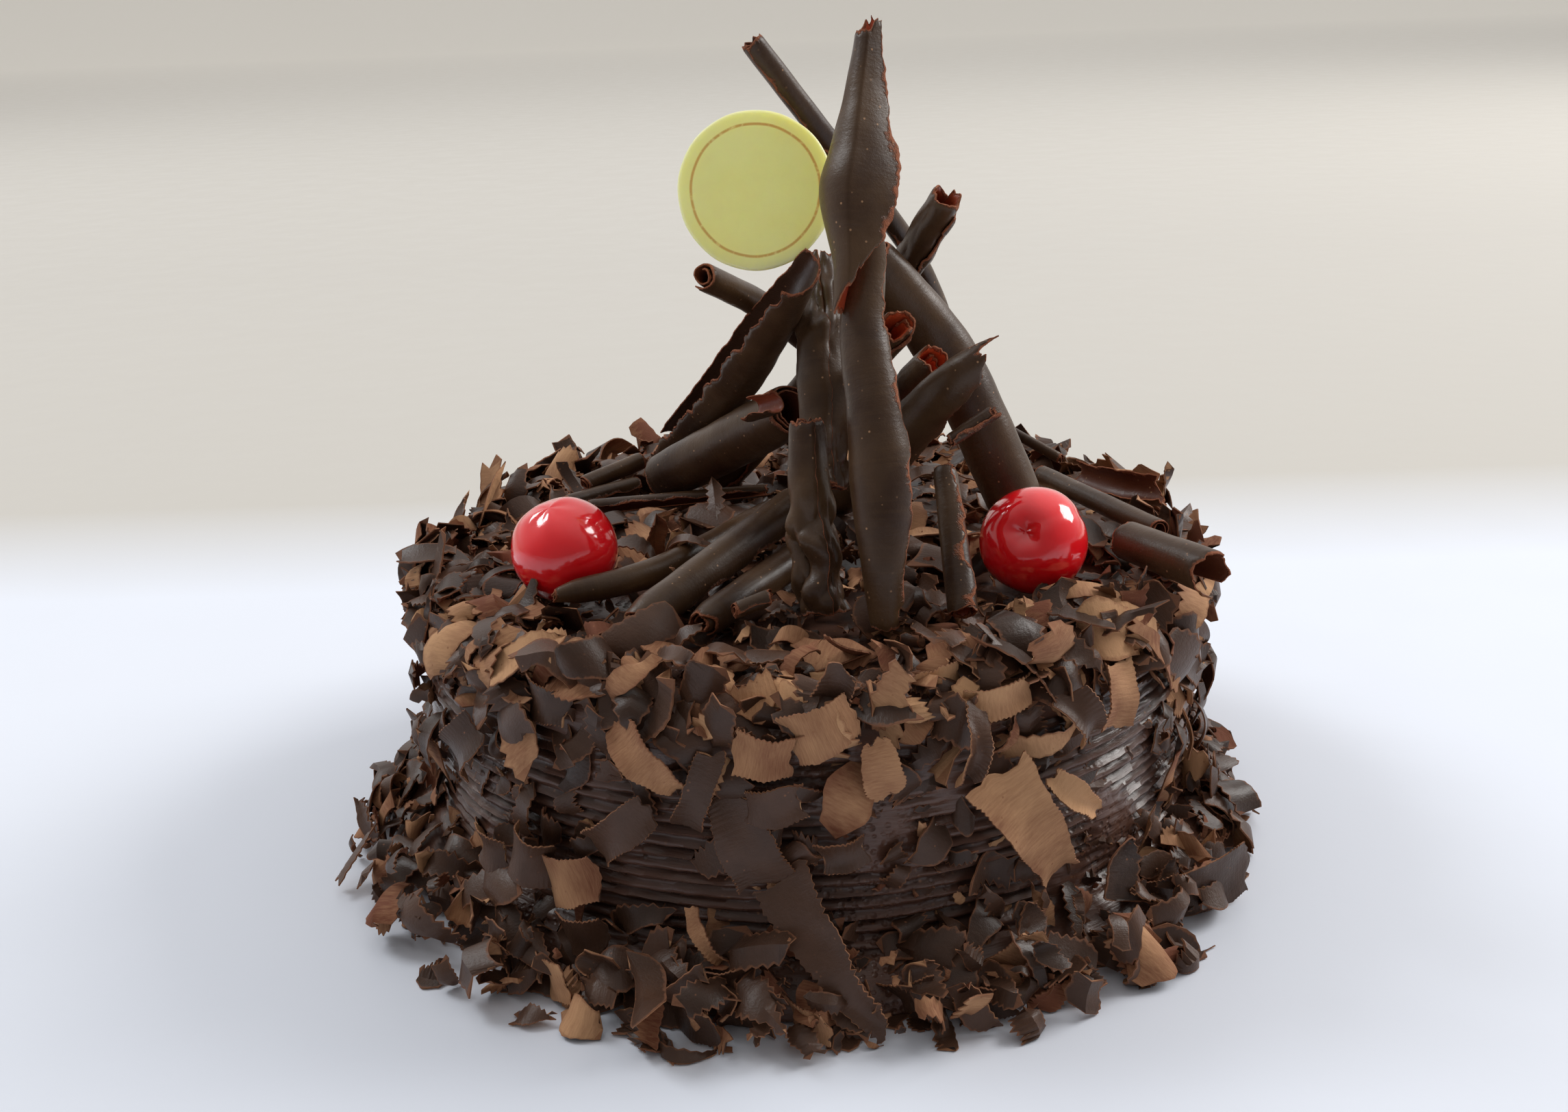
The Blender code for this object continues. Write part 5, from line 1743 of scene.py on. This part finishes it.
@dataclass(frozen=True)
class Studio:
    """The table top with its rising back, the camera, the soft lights and the surroundings."""

    place: Triple = (0.0, -0.34984, 0.18475)
    pitch: float = 0.3466
    roll: float = -0.0379
    yaw: float = -0.0152
    lens: float = 35.95
    aim: Triple = (0.0, 0.0, 0.08)
    table_half: float = 45000.0
    table_flat: float = 8000.0
    surroundings: Colour = display(226, 224, 222)

    def camera(self) -> None:
        """Set the camera where the fitted one stands."""
        level = math.cos(self.pitch)
        forward = Vector((math.sin(self.yaw) * level, math.cos(self.yaw) * level,
                          -math.sin(self.pitch)))
        right = Vector((math.cos(self.yaw), -math.sin(self.yaw), 0.0))
        upward = right.cross(forward)
        across = right * math.cos(self.roll) + upward * math.sin(self.roll)
        up = -right * math.sin(self.roll) + upward * math.cos(self.roll)
        data = bpy.data.cameras.new("camera")
        data.lens = self.lens
        data.sensor_width = 36.0
        data.clip_start = 0.01
        data.clip_end = 200.0
        item = bpy.data.objects.new("camera", data)
        turn = Matrix((across, up, -forward)).transposed().to_4x4()
        item.matrix_world = Matrix.Translation(Vector(self.place)) @ turn
        bpy.context.scene.collection.objects.link(item)
        bpy.context.scene.camera = item

    def backdrop(self, material: bpy.types.Material) -> None:
        """Lay the table top: flat round the cake, then rising with the square of the rest.

        Args:
            material: The floor finish.
        """
        out = self.table_half * np.linspace(0.0, 1.0, 22) ** 2
        line = np.concatenate([-out[:0:-1], out])
        across, along = np.meshgrid(line, line, indexing="ij")
        rise = 2e-6 * np.maximum(np.hypot(across, along) - self.table_flat, 0.0) ** 2
        points = np.stack([across, along, rise], axis=-1)
        parts = MeshParts(points.reshape(-1, 3), [grid_faces(len(line), len(line))])
        parts.make("table_top", material)

    def light(self, name: str, place: Triple, size: float, power: float, colour: Triple) -> None:
        """Hang one soft square light that looks at the cake.

        Args:
            name: Its name.
            place: Where it hangs, in metres.
            size: Its side, in metres.
            power: Its power, in watts.
            colour: Its linear colour.
        """
        data = bpy.data.lights.new(name, "AREA")
        data.shape = "SQUARE"
        data.size = size
        data.energy = power
        data.color = colour
        item = bpy.data.objects.new(name, data)
        item.location = place
        item.rotation_mode = "QUATERNION"
        item.rotation_quaternion = (Vector(self.aim) - Vector(place)).to_track_quat("-Z", "Y")
        bpy.context.scene.collection.objects.link(item)

    def build(self) -> None:
        """Set up everything round the cake."""
        self.camera()
        self.backdrop(FloorFinish().material())
        self.light("window_left", (-1.9, 1.0, 2.2), 1.0, 30.0, (0.95, 0.98, 1.0))
        self.light("window_right", (2.3, 0.9, 1.7), 1.4, 60.0, (1.0, 0.99, 0.97))
        self.sky()
        bpy.context.scene.view_settings.view_transform = "Standard"

    def sky(self) -> None:
        """Surround the table with soft light that is brighter behind and above the cake."""
        world = bpy.data.worlds.new("surroundings")
        world.use_nodes = True
        nodes, links = world.node_tree.nodes, world.node_tree.links
        split = nodes.new("ShaderNodeSeparateXYZ")
        links.new(nodes.new("ShaderNodeTexCoord").outputs["Generated"], split.inputs[0])
        tilt = nodes.new("ShaderNodeMath")
        tilt.operation = "MULTIPLY_ADD"
        tilt.inputs[1].default_value = 0.6
        links.new(split.outputs["Z"], tilt.inputs[0])
        links.new(split.outputs["Y"], tilt.inputs[2])
        level = nodes.new("ShaderNodeMapRange")
        level.interpolation_type = "SMOOTHSTEP"
        given = {"From Min": -0.7, "From Max": 1.1, "To Min": 0.25, "To Max": 1.1}
        for key, value in given.items():
            level.inputs[key].default_value = value
        links.new(tilt.outputs[0], level.inputs["Value"])
        back = nodes["Background"]
        back.inputs["Color"].default_value = self.surroundings
        links.new(level.outputs["Result"], back.inputs["Strength"])
        bpy.context.scene.world = world


CHERRIES = (
    Cherry("cherry_left", (-51.7, -34.0, 73.9), (0.2, 0.3, -1.0), seed=3),
    Cherry("cherry_right", (48.0, -38.0, 73.7), (-0.32, -0.80, 0.52), seed=4),
)

# A field's pale below 1 paints shade on its scraped sides: most at the foot, then the side and the
# top
FIELDS = (
    ShavingField(Zone.TOP, 800, lengths=(6.0, 19.0), widths=(4.0, 11.0), heap=5.0, lean=0.4,
                 seed=51, lit=0.26, limit=88.0, pale=0.85),
    ShavingField(Zone.RIM, 560, lengths=(7.0, 19.0), widths=(5.0, 12.0), heap=3.0, lean=0.5,
                 seed=52, lit=0.28, limit=95.0),
    ShavingField(Zone.SIDE, 270, lengths=(5.0, 17.0), widths=(3.0, 10.0), lean=0.28, seed=53,
                 lit=0.25, pale=0.8),
    ShavingField(Zone.FOOT, 680, lengths=(6.0, 17.0), widths=(4.0, 11.0), heap=5.0, lean=0.42,
                 seed=54, lit=0.22, limit=117.0, pale=0.7),
    ShavingField(Zone.TOP, 700, "bits", (2.0, 5.0), (1.0, 3.0), (0.1, 2.4), heap=5.0, lean=0.8,
                 wall=0.4, seed=61, rows=5, limit=88.0),
    ShavingField(Zone.RIM, 600, "bits", (2.0, 5.5), (1.0, 3.2), (0.1, 2.4), heap=3.5, lean=0.8,
                 wall=0.4, seed=62, rows=5, limit=95.0),
    ShavingField(Zone.SIDE, 260, "bits", (1.5, 4.5), (0.8, 2.6), (0.1, 2.0), heap=0.0, lean=0.4,
                 wall=0.4, seed=63, rows=5),
    ShavingField(Zone.FOOT, 600, "bits", (2.0, 5.5), (1.0, 3.2), (0.1, 2.4), heap=4.2, lean=0.7,
                 wall=0.4, seed=64, rows=5, limit=113.0, pale=0.6),
)


def main() -> None:
    """Build every piece of the dressed cake."""
    logging.basicConfig(level=logging.INFO, format="%(name)s: %(message)s")
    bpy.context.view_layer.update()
    Studio().build()
    CreamDrum().build(CreamFinish().material())
    rolls = Rolls()
    rolls.build(RollFinish().material())
    cherry_skin = CherryFinish().material()
    for cherry in CHERRIES:
        cherry.build(cherry_skin)
    Disc().build(WhiteChocolateFinish().material())
    shaving_skin = ShavingFinish().material()
    LargeShavings().build(shaving_skin)
    centres, reach = rolls.guard_balls()
    centres = np.concatenate([centres, [cherry.centre for cherry in CHERRIES]])
    reach = np.concatenate([reach, [cherry.radius for cherry in CHERRIES]])
    for strewn in FIELDS:
        strewn.build(shaving_skin, centres, reach)


if __name__ == "__main__":
    main()
